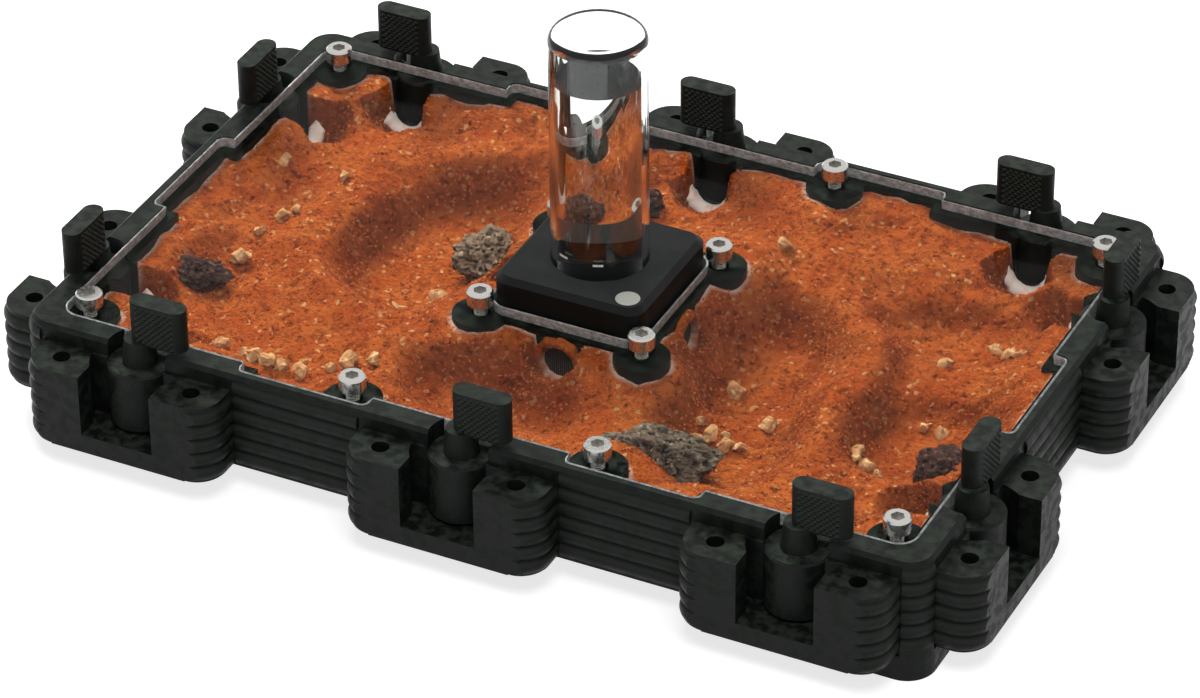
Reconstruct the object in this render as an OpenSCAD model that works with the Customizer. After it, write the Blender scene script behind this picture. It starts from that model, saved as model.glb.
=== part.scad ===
// Ant habitat: a ribbed tray on a square station grid, with ten turnable port gates, a clear
// screwed-down lid and a water feeder with an inverted vial. The tray holds a plaster bed, a relief
// of sand, lava rocks and pebbles.
// Millimetres, +Z up. The origin is on the surface that the habitat stands on, at its centre.
// The front is -Y.

/* [Grid] */
// Distance between the stations, and the size of one grid cell
station_pitch = 72; // [66:1:84]

/* [Tray] */
// Height of the corner feet below the stations' underside
foot_h = 5.6; // [3:0.2:9]
// Length of a corner foot along the long wall
foot_l = 13; // [9:0.5:16]
// Length of a corner foot along the short wall
foot_w = 12; // [9:0.5:14]
// Thickness of the tray's floor
floor_t = 2.4; // [1.6:0.2:3.2]
// How far the walls stand in from the stations' faces
wall_inset = 9.5; // [8.8:0.1:10]
// Radius of the tray's corners
wall_r = 5.5; // [4:0.5:6]
// Chamfer along the outer edge of the rim
rim_chamfer = 0.8; // [0.3:0.1:1]
// Height of the last rib and the rim edge above the stations
rim_rise = 3.5; // [3.2:0.1:4.5]

/* [Ribs] */
// How far a rib stands out
rib_depth = 0.7; // [0.4:0.05:0.9]
// Plain band below the lowest rib
rib_low_band = 0.6; // [0.4:0.1:1.2]
// Plain band above a station's highest rib
rib_high_band = 0.95; // [0.6:0.05:1.5]

/* [Stations] */
// Width of a station along the wall
station_w = 42.6; // [40:0.2:44]
// Height of a station
station_h = 17.9; // [16:0.1:22]
// Radius of a station's outer ends
station_r = 6; // [5:0.1:7]
// Width of the open pocket in a station
pocket_w = 16.2; // [14:0.2:17]
// Height of the pocket's floor above the station's underside
sill_h = 4.2; // [3.4:0.1:5]
// Diameter of the round space in the pocket round the gate
pocket_round_d = 20.4; // [18.4:0.1:21]
// Distance between a station's two bolt holes
bolt_pitch = 29.6; // [28.6:0.1:31]
// Diameter of a bolt hole
bolt_d = 3.6; // [3.2:0.1:4.2]
// Distance of the bolt holes from the station's face
bolt_inset = 5.26; // [4.6:0.02:5.6]

/* [Gates] */
// Distance of a gate's axis from the station's face
gate_inset = 11; // [10.6:0.1:11.4]
// Diameter of a gate's drum
drum_d = 13.4; // [12.4:0.1:13.6]
// Running clearance round the drum and under it
drum_clear = 0.05; // [0.02:0.01:0.1]
// Chamfer at the foot of the drum
drum_chamfer = 0.8; // [0.4:0.1:1.2]
// Diameter of the port bore through drum and wall
port_d = 6.5; // [5:0.1:7]
// Diameter of the neck where it leaves the drum
neck_d = 7.2; // [6:0.1:7.4]
// Diameter of the neck under the flag
neck_top_d = 6; // [4.8:0.1:6]
// Length of the flag handle
flag_l = 12.4; // [11:0.1:12.6]
// Thickness of the flag handle
flag_t = 4.4; // [3.4:0.1:4.8]
// Height of the flag handle
flag_h = 9.4; // [8:0.1:13]
// How far the flag reaches behind the gate's axis
flag_back = 1.6; // [1.4:0.1:3.2]
// How far the flag's middle line lies behind the gate's axis, towards the lid
flag_in = 0.5; // [0:0.1:1]
// Gap between the flag and the lid's upper face
flag_gap = 1.6; // [0.6:0.1:2]
// Diameter of the round turret behind a gate
turret_d = 16.8; // [16.2:0.1:18]

/* [Lid] */
// Thickness of the acrylic lid
lid_t = 3; // [2:0.5:4]
// Gap between the gates' drums and the lid
lid_gap = 0.5; // [0.3:0.1:1]
// Distance from the stations' faces to the lid's edge at a station
lid_inset = 14.9; // [14.7:0.1:15.3]
// How far the lid steps out between the stations
lid_step = 3.1; // [2:0.1:3.4]
// Length of the set-back edge at a station
lid_notch_w = 43; // [40:0.5:46]
// Radius of the lid's corners
lid_r = 4; // [3:0.5:5]
// Radius of the corners where the lid steps out
lid_step_r = 1.6; // [1:0.1:2.4]
// Gap between lid and rim
lid_clear = 0.2; // [0.1:0.05:0.4]
// Width of the ledge under the lid's edge
ledge_w = 2; // [1.5:0.1:2.4]

/* [Screws] */
// Thread diameter of the socket-head screws
screw_d = 3; // [2.5:0.5:3]
// Length of a screw under its head
screw_l = 8; // [7:0.5:9]
// Diameter of a screw's head
head_d = 5.5; // [5:0.1:6]
// Height of a screw's head
head_h = 3; // [2.4:0.1:3.4]
// Distance across the flats of the hexagon socket
hex_w = 2.5; // [2:0.1:3]
// Outer diameter of a threaded insert
insert_d = 4.2; // [4:0.1:4.6]
// Length of a threaded insert
insert_l = 5; // [4:0.5:5]
// Clearance round a screw in the lid, on the radius
hole_clear = 0.2; // [0.1:0.05:0.3]
// Distance of a lid screw from the lid's edge
lid_screw_inset = 4.6; // [4.2:0.1:5]
// Distance of the middle screws from the step in the lid's edge
mid_screw_run = 5.35; // [4.8:0.05:8]
// Diameter of a screw boss
boss_d = 12; // [10:0.5:13]

/* [Feeder] */
// Width of the feeder block
block_w = 33; // [30:0.5:36]
// Radius of the feeder block's upright corners
block_r = 3.5; // [3:0.1:4.5]
// Height of the feeder block
block_h = 11.5; // [10:0.1:14]
// How far the block stands above the lid
block_rise = 6; // [4.5:0.1:8]
// Chamfer round the top of the block
block_chamfer = 1.2; // [0.6:0.1:2]
// Running gap between the block and the pedestal's well
well_gap = 0.1; // [0.06:0.01:0.3]
// Gap between the block and the opening in the lid
opening_gap = 0.7; // [0.4:0.1:0.9]
// Wall of the pedestal round the block
pedestal_wall = 2.1; // [1.8:0.1:3]
// Width of the ledge that the block sits on
seat_w = 2; // [1:0.1:4]
// Thickness of the pedestal's floor
pedestal_floor = 2; // [1:0.5:3]
// Diameter of the ears round the feeder screws
ear_d = 11.6; // [10:0.2:13]
// How far the feeder screws stand out from the block
feeder_screw_out = 1.5; // [1.3:0.1:2.2]
// Diameter of the pedestal's round windows
window_d = 6.6; // [5:0.1:7]
// Height of the windows' axes above the tray's floor
window_h = 9.7; // [9:0.1:10.2]
// Diameter of a mesh screen
screen_d = 8; // [7.6:0.1:9]
// Thickness of a mesh screen
screen_t = 0.5; // [0.3:0.1:0.8]
// Diameter of the disc in the block's top
disc_d = 5; // [4:0.1:6]
// Height of the disc in the block's top
disc_h = 2; // [1:0.1:2.4]
// Distance of the disc from the block's two nearest sides
disc_inset = 4.4; // [4.4:0.1:4.8]
// Diameter of the weep holes in the block's floor
weep_d = 1.6; // [1:0.1:2.4]
// Radius of the circle of weep holes
weep_at = 5; // [3:0.1:7]

/* [Vial] */
// Outer diameter of the glass vial
vial_d = 20; // [18:0.1:21]
// Length of the vial
vial_l = 61.3; // [50:0.1:75]
// Wall thickness of the vial
vial_wall = 1.2; // [0.8:0.1:1.6]
// Rounding of the vial's closed end
vial_r = 2; // [1.7:0.1:3]
// Depth of the vial's seat in the block
vial_seat = 9; // [7:0.1:9.5]
// Clearance round the vial in its seat, on the radius
vial_clear = 0.08; // [0.04:0.01:0.15]
// Thickness of the seal ring's section
seal_t = 1.2; // [0.8:0.1:1.5]
// Depth of the seal ring below the block's top
seal_down = 4; // [3:0.1:5]
// Height of the air space above the water
air_h = 8.8; // [4:0.1:20]

/* [Filling] */
// Thickness of the plaster bed
bed_t = 1.6; // [1:0.1:2]
// Thickness of the bare plaster collars at the ports
collar_t = 2.2; // [1.5:0.1:3]
// Width of the bare plaster beside a port
collar_side = 1.8; // [1:0.1:2.4]
// How far a collar rises above the port's axis
collar_rise = 2.5; // [1:0.1:4]
// Gap between the sand and the tray
fill_clear = 0.1; // [0.05:0.05:0.3]
// Mean height of the sand above the plaster bed
sand_h = 8; // [7:0.1:8.6]
// How high the sand climbs the tray's walls
berm_h = 6.6; // [4:0.1:7]
// How high the sand climbs the pedestal
mound_h = 7.4; // [5:0.1:8]

/* [Hidden] */
$fn = 64;
eps = 0.01;

// Colours
black_plastic = [0.11, 0.12, 0.115];
plaster_white = [0.87, 0.78, 0.73];
sand_orange = [0.76, 0.36, 0.18];

// Stations and the tray's outline
stations_long = 3;
stations_deep = 2;
module_l = stations_long * station_pitch;
module_w = stations_deep * station_pitch;
wall_l = module_l - 2 * wall_inset;
wall_w = module_w - 2 * wall_inset;
long_at = [for (i = [0 : stations_long - 1]) (i - (stations_long - 1) / 2) * station_pitch];
deep_at = [for (i = [0 : stations_deep - 1]) (i - (stations_deep - 1) / 2) * station_pitch];
// Each frame is [x, y, turn]: local +x runs along the wall, local +y points into the habitat
front_frames = [for (x = long_at) [x, -module_w / 2, 0]];
back_frames = [for (x = long_at) [x, module_w / 2, 180]];
left_frames = [for (y = deep_at) [-module_l / 2, y, -90]];
right_frames = [for (y = deep_at) [module_l / 2, y, 90]];
station_frames = concat(front_frames, back_frames, left_frames, right_frames);
front_spans = [for (x = [-station_pitch / 2, station_pitch / 2]) [x, -module_w / 2, 0]];
back_spans = [for (x = [-station_pitch / 2, station_pitch / 2]) [x, module_w / 2, 180]];
side_spans = [for (s = [-1, 1]) [s * module_l / 2, 0, s * 90]];
span_frames = concat(front_spans, back_spans, side_spans);
span_w = station_pitch - station_w;

// Heights
tray_z = foot_h;
floor_z = tray_z + floor_t;
sill_z = tray_z + sill_h;
station_top = tray_z + station_h;
ledge_z = station_top + lid_gap;
lid_top = ledge_z + lid_t;
rim_top = lid_top;
port_z = (sill_z + station_top) / 2;
rib_n = 5;
rib_pitch = (station_h - rib_low_band - rib_high_band) / rib_n;
rib_z = tray_z + rib_low_band;
core_in = 0.3;      // the core under the ribbed skin
skin_t = 1.2;       // how far the ribbed skin reaches into the core
pocket_back = wall_inset - rib_depth;
end_x = station_w / 2 - station_r;      // centre of a station's rounded end
end_y = station_r - 0.05;               // it stands out a little, so the grooves run out
// The tray is divided on a grid: behind each gate a strip of this half width belongs to its
// station, and the strips, walls and corners reach this far in from the stations' faces
strip_x = pocket_round_d / 2 + 0.1;
strip_y = station_pitch / 2 - strip_x;

// Screws
boss_low = ledge_z - insert_l - 0.6;
lid_l = module_l - 2 * lid_inset;
lid_w = module_w - 2 * lid_inset;
lid_screw_x = lid_l / 2 - lid_screw_inset;
lid_screw_y = lid_w / 2 - lid_screw_inset;
mid_screw_x = lid_notch_w / 2 + mid_screw_run;
lid_screw_at = concat(
    [for (sx = [-1, 1], sy = [-1, 1]) [sx * lid_screw_x, sy * lid_screw_y]],
    [for (sx = [-1, 1], sy = [-1, 1]) [sx * mid_screw_x, sy * (lid_screw_y + lid_step)]]
);
feeder_screw_x = block_w / 2 + feeder_screw_out;
feeder_screw_at = [for (sx = [-1, 1], sy = [-1, 1]) [sx * feeder_screw_x, sy * feeder_screw_x]];

// Feeder
block_top = lid_top + block_rise;
block_z = block_top - block_h;
well_w = block_w + 2 * well_gap;
pedestal_w = well_w + 2 * pedestal_wall;
chamber_w = well_w - 2 * seat_w;
seat_floor = block_top - vial_seat;
vial_top = seat_floor + vial_l;
window_z = floor_z + window_h;
disc_at = block_w / 2 - disc_inset;

// Filling
bed_top = floor_z + bed_t;
sand_cap = ledge_z - 0.4;
sand_min = bed_top + 1.2;
grid_step = 4.4;
grid_x = ceil((lid_l / 2 + lid_step) / grid_step);
grid_y = ceil((lid_w / 2 + lid_step) / grid_step);
// The sand is divided this far from the middle
sand_cut = station_pitch / 2 + 1;
// Basins and ridges of the sand: [x, y, height, reach along, reach across, turn, steepness]
relief = [
    [-43, 9, -6, 26, 15, 78, 2],
    [-48, 41, 2.8, 18, 6.5, 25, 1],
    [-70, 10, 2.2, 22, 9, 80, 1],
    [-38, -23, 2.4, 14, 6, 10, 1],
    [-60, -22, -1.8, 18, 6, 125, 1],
    [-8, -37, -4.2, 19, 10, 0, 2],
    [-20, -24, -2, 8, 7, 0, 1],
    [28, 3, -5.6, 16, 14, 10, 2],
    [41, -23, -4.4, 25, 14, 100, 2],
    [60, -9, 4.2, 25, 6, 96, 1.5],
    [49, 18, 3.4, 13, 7, 138, 1.5],
    [38, 34, 2.6, 24, 9, 15, 1],
    [60, 37, 2.2, 13, 6, 40, 1],
    [73, 19, -2.6, 18, 11, 15, 2],
    [80, -15, -4.2, 20, 13, 10, 2]
];

function gauss(d, r) = exp(-d * d / (r * r));
function turned(x, y, a) = [x * cos(a) + y * sin(a), y * cos(a) - x * sin(a)];
function bump(f, x, y) =
    let (q = turned(x - f[0], y - f[1], f[5]))
    f[2] * exp(-pow(pow(q[0] / f[3], 2) + pow(q[1] / f[4], 2), f[6]));
function wall_gap(x, y) = max(0, min(lid_l / 2 - abs(x), lid_w / 2 - abs(y)));
function pedestal_gap(x, y) =
    norm([max(0, abs(x) - pedestal_w / 2), max(0, abs(y) - pedestal_w / 2)]);
function ripple(x, y) = 0.35 * sin(x * 23) * cos(y * 19) + 0.25 * sin(x * 11 + y * 31);
function relief_sum(x, y, i = 0) =
    i == len(relief) ? 0 : bump(relief[i], x, y) + relief_sum(x, y, i + 1);
// Height of the sand's surface
function sand_z(x, y) =
    let (
        raw = bed_top + sand_h + relief_sum(x, y) + ripple(x, y)
            + berm_h * gauss(wall_gap(x, y), 7) + mound_h * gauss(pedestal_gap(x, y), 6)
    )
    min(sand_cap, max(sand_min, raw));

// ---- Shared shapes ----

// Those of a list of places that lie within one grid cell of a point
function near(places, c) =
    [for (p = places) if (norm([p[0] - c[0], p[1] - c[1]]) < station_pitch) p];

module rounded_rect(w, h, r) {
    square([w - 2 * r, h], center = true);
    square([w, h - 2 * r], center = true);
    for (sx = [-1, 1], sy = [-1, 1])
        translate([sx * (w / 2 - r), sy * (h / 2 - r)]) circle(r);
}

module slab(z0, z1) {
    translate([0, 0, z0]) linear_extrude(z1 - z0) children();
}

module in_frame(f) {
    translate([f[0], f[1], 0]) rotate(f[2]) children();
}

module at_points(points) {
    for (p = points) translate([p[0], p[1], 0]) children();
}

// ---- Tray ----

module wall_outline(d) {
    rounded_rect(wall_l + 2 * d, wall_w + 2 * d, wall_r + d);
}

// Round-backed ribs one above the other, outwards from x = 0
module rib_rows(n) {
    rib_r = (rib_pitch * rib_pitch / 4 + rib_depth * rib_depth) / (2 * rib_depth);
    intersection() {
        for (i = [0 : n - 1])
            translate([rib_depth - rib_r, rib_z + (i + 0.5) * rib_pitch]) circle(rib_r);
        translate([-skin_t, tray_z]) square([skin_t + 2 * rib_depth, rim_top - tray_z]);
    }
}

// The wall's section from its outer face inwards, to the given depth
module wall_section(depth) {
    polygon([
        [-depth, tray_z], [0, tray_z], [0, rim_top - rim_chamfer],
        [-rim_chamfer, rim_top], [-depth, rim_top]
    ]);
}

module station_profile() {
    polygon([
        [-skin_t, tray_z], [-0.3, tray_z], [0, tray_z + 0.3],
        [0, station_top], [-skin_t, station_top]
    ]);
    rib_rows(rib_n);
}

// A straight run of a profile, centred on the frame, facing the station's face
module straight_run(length, inset) {
    translate([-length / 2, inset, 0]) rotate([90, 0, 90]) mirror([1, 0, 0])
        linear_extrude(length) children();
}

module station_core() {
    slab(tray_z, station_top) {
        translate([-end_x, 0]) square([2 * end_x, wall_inset]);
        translate([-station_w / 2 + core_in, end_y])
            square([station_w - 2 * core_in, wall_inset - end_y]);
        translate([0.5 - strip_x, wall_inset - 1]) square([2 * strip_x - 1, 2]);
        intersection() {
            for (s = [-1, 1]) translate([s * end_x, end_y]) circle(station_r - core_in);
            translate([-station_w, 0]) square([2 * station_w, wall_inset]);
        }
    }
}

// Ribs round a station's ends, cut off by its flat face
module station_skin() {
    run = wall_inset - end_y;
    intersection() {
        for (s = [-1, 1]) {
            translate([s * end_x, end_y, 0]) rotate(s < 0 ? 180 : 270)
                rotate_extrude(angle = 90) translate([station_r, 0]) station_profile();
            translate([s * station_w / 2, end_y + run / 2, 0]) rotate(s * 90)
                straight_run(run, 0) station_profile();
        }
        translate([-station_w, 0, 0]) cube([2 * station_w, station_w, rim_top]);
    }
}

// The lid's outline, grown by d
module lid_outline(d, spans = span_frames) {
    step_r = max(0.5, lid_step_r + d);
    span = station_pitch - lid_notch_w;
    rounded_rect(lid_l + 2 * d, lid_w + 2 * d, lid_r + d);
    for (f = spans)
        translate([f[0], f[1]]) rotate(f[2]) translate([0, lid_inset - lid_step + lid_r + 4])
            rounded_rect(span + 2 * d, 2 * (lid_r + 4 + d), step_r);
}

module turrets(d, frames = station_frames) {
    for (f = frames) translate([f[0], f[1]]) rotate(f[2])
        translate([0, gate_inset]) circle((turret_d + d) / 2);
}

module screw_bosses(d, places = lid_screw_at) {
    for (p = places) translate(p) circle((boss_d + d) / 2);
}

// The space inside the walls, kept off them by gap
module cavity_outline(gap) {
    difference() {
        lid_outline(-ledge_w - gap);
        turrets(2 * gap);
        screw_bosses(2 * gap);
    }
}

// What is hollow in the tray near a point: the lid's recess, the space inside and the screws' holes
module tray_hollows(c) {
    slab(ledge_z, rim_top + 1) lid_outline(lid_clear, near(span_frames, c));
    slab(floor_z, rim_top + 1) difference() {
        lid_outline(-ledge_w, near(span_frames, c));
        turrets(0, near(station_frames, c));
        screw_bosses(0, near(lid_screw_at, c));
    }
    at_points(near(lid_screw_at, c)) translate([0, 0, boss_low])
        cylinder(h = rim_top, d = insert_d);
}

module pocket_cut() {
    slab(sill_z, rim_top + 1) intersection() {
        union() {
            translate([-pocket_w / 2, -1]) square([pocket_w, pocket_back + 1]);
            translate([0, gate_inset]) circle(pocket_round_d / 2);
        }
        translate([-pocket_round_d, -2]) square([2 * pocket_round_d, pocket_back + 2]);
    }
}

// A round-bottomed slot from the gate's axis into the habitat, open towards the top
module port_cut(reach) {
    translate([0, gate_inset, port_z]) rotate([-90, 0, 0]) cylinder(h = reach, d = port_d);
    translate([-port_d / 2, gate_inset, port_z]) cube([port_d, reach, ledge_z - port_z + 1]);
}

module station_cuts() {
    pocket_cut();
    translate([0, gate_inset, sill_z]) cylinder(h = rim_top, d = drum_d + 2 * drum_clear);
    port_cut(turret_d / 2 + 1);
    for (s = [-1, 1]) translate([s * bolt_pitch / 2, bolt_inset, 0])
        cylinder(h = rim_top, d = bolt_d);
}

module tray_floor() {
    color(black_plastic) slab(tray_z, floor_z)
        square([module_l - 2 * strip_y, module_w - 2 * strip_y], center = true);
}

// One station: its block, its pocket and its gate's turret
module station_in(frame) {
    color(black_plastic) difference() {
        in_frame(frame) {
            station_core();
            station_skin();
            straight_run(2 * strip_x, wall_inset) wall_section(strip_y - wall_inset);
        }
        tray_hollows(frame);
        in_frame(frame) station_cuts();
    }
}

// The wall between two stations' strips
module wall_in(frame) {
    color(black_plastic) difference() {
        in_frame(frame) {
            straight_run(2 * strip_y, wall_inset) wall_section(strip_y - wall_inset);
            straight_run(span_w - 2 * rib_depth - 0.1, wall_inset) rib_rows(rib_n + 1);
        }
        tray_hollows(frame);
    }
}

// A corner with its ribs and its foot, drawn for the right back corner
module corner_shape() {
    x = wall_l / 2;
    y = wall_w / 2;
    in_x = module_l / 2 - strip_y;
    in_y = module_w / 2 - strip_y;
    difference() {
        union() {
            translate([x - wall_r, y - wall_r, 0]) rotate_extrude(angle = 90) {
                polygon([
                    [0, tray_z], [wall_r, tray_z], [wall_r, rim_top - rim_chamfer],
                    [wall_r - rim_chamfer, rim_top], [0, rim_top]
                ]);
                translate([wall_r, 0]) rib_rows(rib_n + 1);
            }
            translate([(in_x + x - wall_r) / 2, y, 0]) rotate(180)
                straight_run(x - wall_r - in_x, 0) wall_section(y - in_y);
            translate([x, (in_y + y - wall_r) / 2, 0]) rotate(90)
                straight_run(y - wall_r - in_y, 0) wall_section(x - in_x);
            slab(0, rib_z + rib_pitch / 2) intersection() {
                wall_outline(rib_depth - 0.1);
                translate([x - foot_l, y - foot_w]) square(foot_l + foot_w);
            }
        }
        translate([0, y, tray_z])
            cube([long_at[2] + station_w / 2 + rib_depth + 0.05, foot_w, rim_top]);
        translate([x, 0, tray_z])
            cube([foot_l, deep_at[1] + station_w / 2 + rib_depth + 0.05, rim_top]);
    }
}

module corner_in(sx, sy) {
    color(black_plastic) difference() {
        mirror([sx < 0 ? 1 : 0, 0, 0]) mirror([0, sy < 0 ? 1 : 0, 0]) corner_shape();
        tray_hollows([sx * wall_l / 2, sy * wall_w / 2]);
    }
}

module wall_front_1() { wall_in(front_spans[0]); }
module wall_front_2() { wall_in(front_spans[1]); }
module wall_back_1() { wall_in(back_spans[0]); }
module wall_back_2() { wall_in(back_spans[1]); }
module wall_left() { wall_in(side_spans[0]); }
module wall_right() { wall_in(side_spans[1]); }
module corner_front_left() { corner_in(-1, -1); }
module corner_front_right() { corner_in(1, -1); }
module corner_back_left() { corner_in(-1, 1); }
module corner_back_right() { corner_in(1, 1); }
module station_front_1() { station_in(front_frames[0]); }
module station_front_2() { station_in(front_frames[1]); }
module station_front_3() { station_in(front_frames[2]); }
module station_back_1() { station_in(back_frames[0]); }
module station_back_2() { station_in(back_frames[1]); }
module station_back_3() { station_in(back_frames[2]); }
module station_left_1() { station_in(left_frames[0]); }
module station_left_2() { station_in(left_frames[1]); }
module station_right_1() { station_in(right_frames[0]); }
module station_right_2() { station_in(right_frames[1]); }

// ---- Lid, screws and inserts ----

module clear_lid() {
    color([0.85, 0.9, 0.92, 0.35]) difference() {
        slab(ledge_z, lid_top) lid_outline(0);
        slab(ledge_z - 1, lid_top + 1)
            rounded_rect(block_w + 2 * opening_gap, block_w + 2 * opening_gap, block_r + opening_gap);
        at_points(concat(lid_screw_at, feeder_screw_at)) translate([0, 0, ledge_z - 1])
            cylinder(h = lid_t + 2, d = screw_d + 2 * hole_clear);
    }
}

module socket_screw() {
    head_edge = 0.35;
    difference() {
        translate([0, 0, lid_top]) rotate_extrude() polygon([
            [0, -screw_l], [screw_d / 2 - 0.3, -screw_l], [screw_d / 2, 0.3 - screw_l],
            [screw_d / 2, 0], [head_d / 2, 0], [head_d / 2, head_h - head_edge],
            [head_d / 2 - head_edge, head_h], [0, head_h]
        ]);
        translate([0, 0, lid_top + head_h / 2])
            cylinder(h = head_h, d = hex_w / cos(30), $fn = 6);
    }
}

module threaded_insert() {
    translate([0, 0, ledge_z - insert_l]) difference() {
        cylinder(h = insert_l, d = insert_d);
        translate([0, 0, -1]) cylinder(h = insert_l + 2, d = screw_d + 0.04);
    }
}

module lid_screws() {
    color("silver") at_points(lid_screw_at) socket_screw();
}

module lid_inserts() {
    color("goldenrod") at_points(lid_screw_at) threaded_insert();
}

module feeder_screws() {
    color("silver") at_points(feeder_screw_at) socket_screw();
}

module feeder_inserts() {
    color("goldenrod") at_points(feeder_screw_at) threaded_insert();
}

// ---- Gates ----

module gate() {
    drum_z = sill_z + drum_clear;
    flag_z = lid_top + flag_gap;
    flag_mid = flag_l / 2 - flag_back;
    translate([0, gate_inset, 0]) {
        difference() {
            translate([0, 0, drum_z]) rotate_extrude() polygon([
                [0, 0], [drum_d / 2 - drum_chamfer, 0], [drum_d / 2, drum_chamfer],
                [drum_d / 2, station_top - drum_z - 0.4], [drum_d / 2 - 0.4, station_top - drum_z],
                [neck_d / 2, station_top - drum_z], [neck_top_d / 2, flag_z - drum_z + 0.5],
                [0, flag_z - drum_z + 0.5]
            ]);
            translate([-drum_d, 0, port_z]) rotate([0, 90, 0]) cylinder(h = 2 * drum_d, d = port_d);
        }
        slab(flag_z, flag_z + flag_h) translate([flag_mid, flag_in]) {
            square([flag_l - flag_t, flag_t], center = true);
            for (s = [-1, 1]) translate([s * (flag_l - flag_t) / 2, 0]) circle(flag_t / 2);
        }
    }
}

module gate_in(frame) {
    color(black_plastic) in_frame(frame) gate();
}

module gate_front_1() { gate_in(front_frames[0]); }
module gate_front_2() { gate_in(front_frames[1]); }
module gate_front_3() { gate_in(front_frames[2]); }
module gate_back_1() { gate_in(back_frames[0]); }
module gate_back_2() { gate_in(back_frames[1]); }
module gate_back_3() { gate_in(back_frames[2]); }
module gate_left_1() { gate_in(left_frames[0]); }
module gate_left_2() { gate_in(left_frames[1]); }
module gate_right_1() { gate_in(right_frames[0]); }
module gate_right_2() { gate_in(right_frames[1]); }

// ---- Feeder ----

module pedestal_outline(d) {
    rounded_rect(pedestal_w + d, pedestal_w + d, block_r);
    for (p = feeder_screw_at) translate(p) circle((ear_d + d) / 2);
}

module window_axes() {
    for (a = [0 : 90 : 270]) rotate(a) translate([0, 0, window_z]) rotate([90, 0, 0]) children();
}

module feeder_pedestal() {
    color(black_plastic) difference() {
        slab(floor_z + bed_t, ledge_z) pedestal_outline(0);
        slab(floor_z + bed_t + pedestal_floor, block_z + eps) square(chamber_w, center = true);
        slab(block_z, ledge_z + 1) rounded_rect(well_w, well_w, block_r + well_gap);
        window_axes() cylinder(h = pedestal_w, d = window_d);
        window_axes() translate([0, 0, pedestal_w / 2 - screen_t])
            cylinder(h = pedestal_w, d = screen_d);
        at_points(feeder_screw_at) translate([0, 0, boss_low]) cylinder(h = ledge_z, d = insert_d);
    }
}

module mesh_screens() {
    color("dimgray") window_axes() translate([0, 0, pedestal_w / 2 - screen_t])
        cylinder(h = screen_t, d = screen_d);
}

module feeder_block() {
    color(black_plastic) difference() {
        union() {
            slab(block_z, block_top - block_chamfer) rounded_rect(block_w, block_w, block_r);
            hull() {
                slab(block_top - block_chamfer - eps, block_top - block_chamfer)
                    rounded_rect(block_w, block_w, block_r, $fn = 32);
                slab(block_top - eps, block_top)
                    rounded_rect(block_w - 2 * block_chamfer, block_w - 2 * block_chamfer,
                        block_r - block_chamfer / 2, $fn = 32);
            }
        }
        translate([0, 0, seat_floor]) cylinder(h = block_h, d = vial_d + 2 * vial_clear);
        translate([0, 0, block_top - seal_down - seal_t])
            cylinder(h = seal_t, d = vial_d + 2 * vial_clear + 2 * seal_t);
        translate([disc_at, -disc_at, block_top - disc_h]) cylinder(h = block_h, d = disc_d);
        for (a = [0 : 60 : 300]) rotate(a) translate([weep_at, 0, block_z - 1])
            cylinder(h = block_h, d = weep_d);
    }
}

module block_disc() {
    color("gainsboro") translate([disc_at, -disc_at, block_top - disc_h])
        cylinder(h = disc_h, d = disc_d);
}

module vial_seal() {
    ring_r = vial_d / 2 + vial_clear / 2 + seal_t / 2;
    color("dimgray") translate([0, 0, block_top - seal_down - seal_t / 2])
        rotate_extrude() translate([ring_r, 0]) circle(seal_t / 2, $fn = 32);
}

module glass_vial() {
    r = vial_d / 2;
    bore = r - vial_wall;
    color([0.85, 0.93, 0.92, 0.4]) translate([0, 0, seat_floor]) difference() {
        union() {
            cylinder(h = vial_l - vial_r, r = r);
            translate([0, 0, vial_l - vial_r]) cylinder(h = vial_r, r = r - vial_r);
            translate([0, 0, vial_l - vial_r]) rotate_extrude()
                translate([r - vial_r, 0]) circle(vial_r);
        }
        translate([0, 0, -1]) cylinder(h = vial_l - vial_wall - 0.4 + 1, r = bore);
    }
}

module water_fill() {
    bore = vial_d / 2 - vial_wall;
    color([0.8, 0.9, 0.9, 0.3]) translate([0, 0, seat_floor + 0.2])
        cylinder(h = vial_l - vial_wall - 0.6 - air_h, r = bore - 0.04);
}

// ---- Filling ----

// Bare plaster round a port: a block against the turret with the port's slot in it
module collar(z0, z1) {
    in = gate_inset + turret_d / 2 - 0.6;
    translate([-port_d / 2 - collar_side, in, z0])
        cube([port_d + 2 * collar_side, collar_t + 0.6, z1 - z0]);
}

module plaster_bed() {
    color(plaster_white) slab(floor_z, bed_top) cavity_outline(fill_clear);
}

module plaster_collars() {
    color(plaster_white) difference() {
        for (f = station_frames) in_frame(f) collar(bed_top, port_z + collar_rise);
        slab(floor_z, rim_top) turrets(2 * fill_clear);
        for (f = station_frames) in_frame(f) port_cut(turret_d);
    }
}

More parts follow.
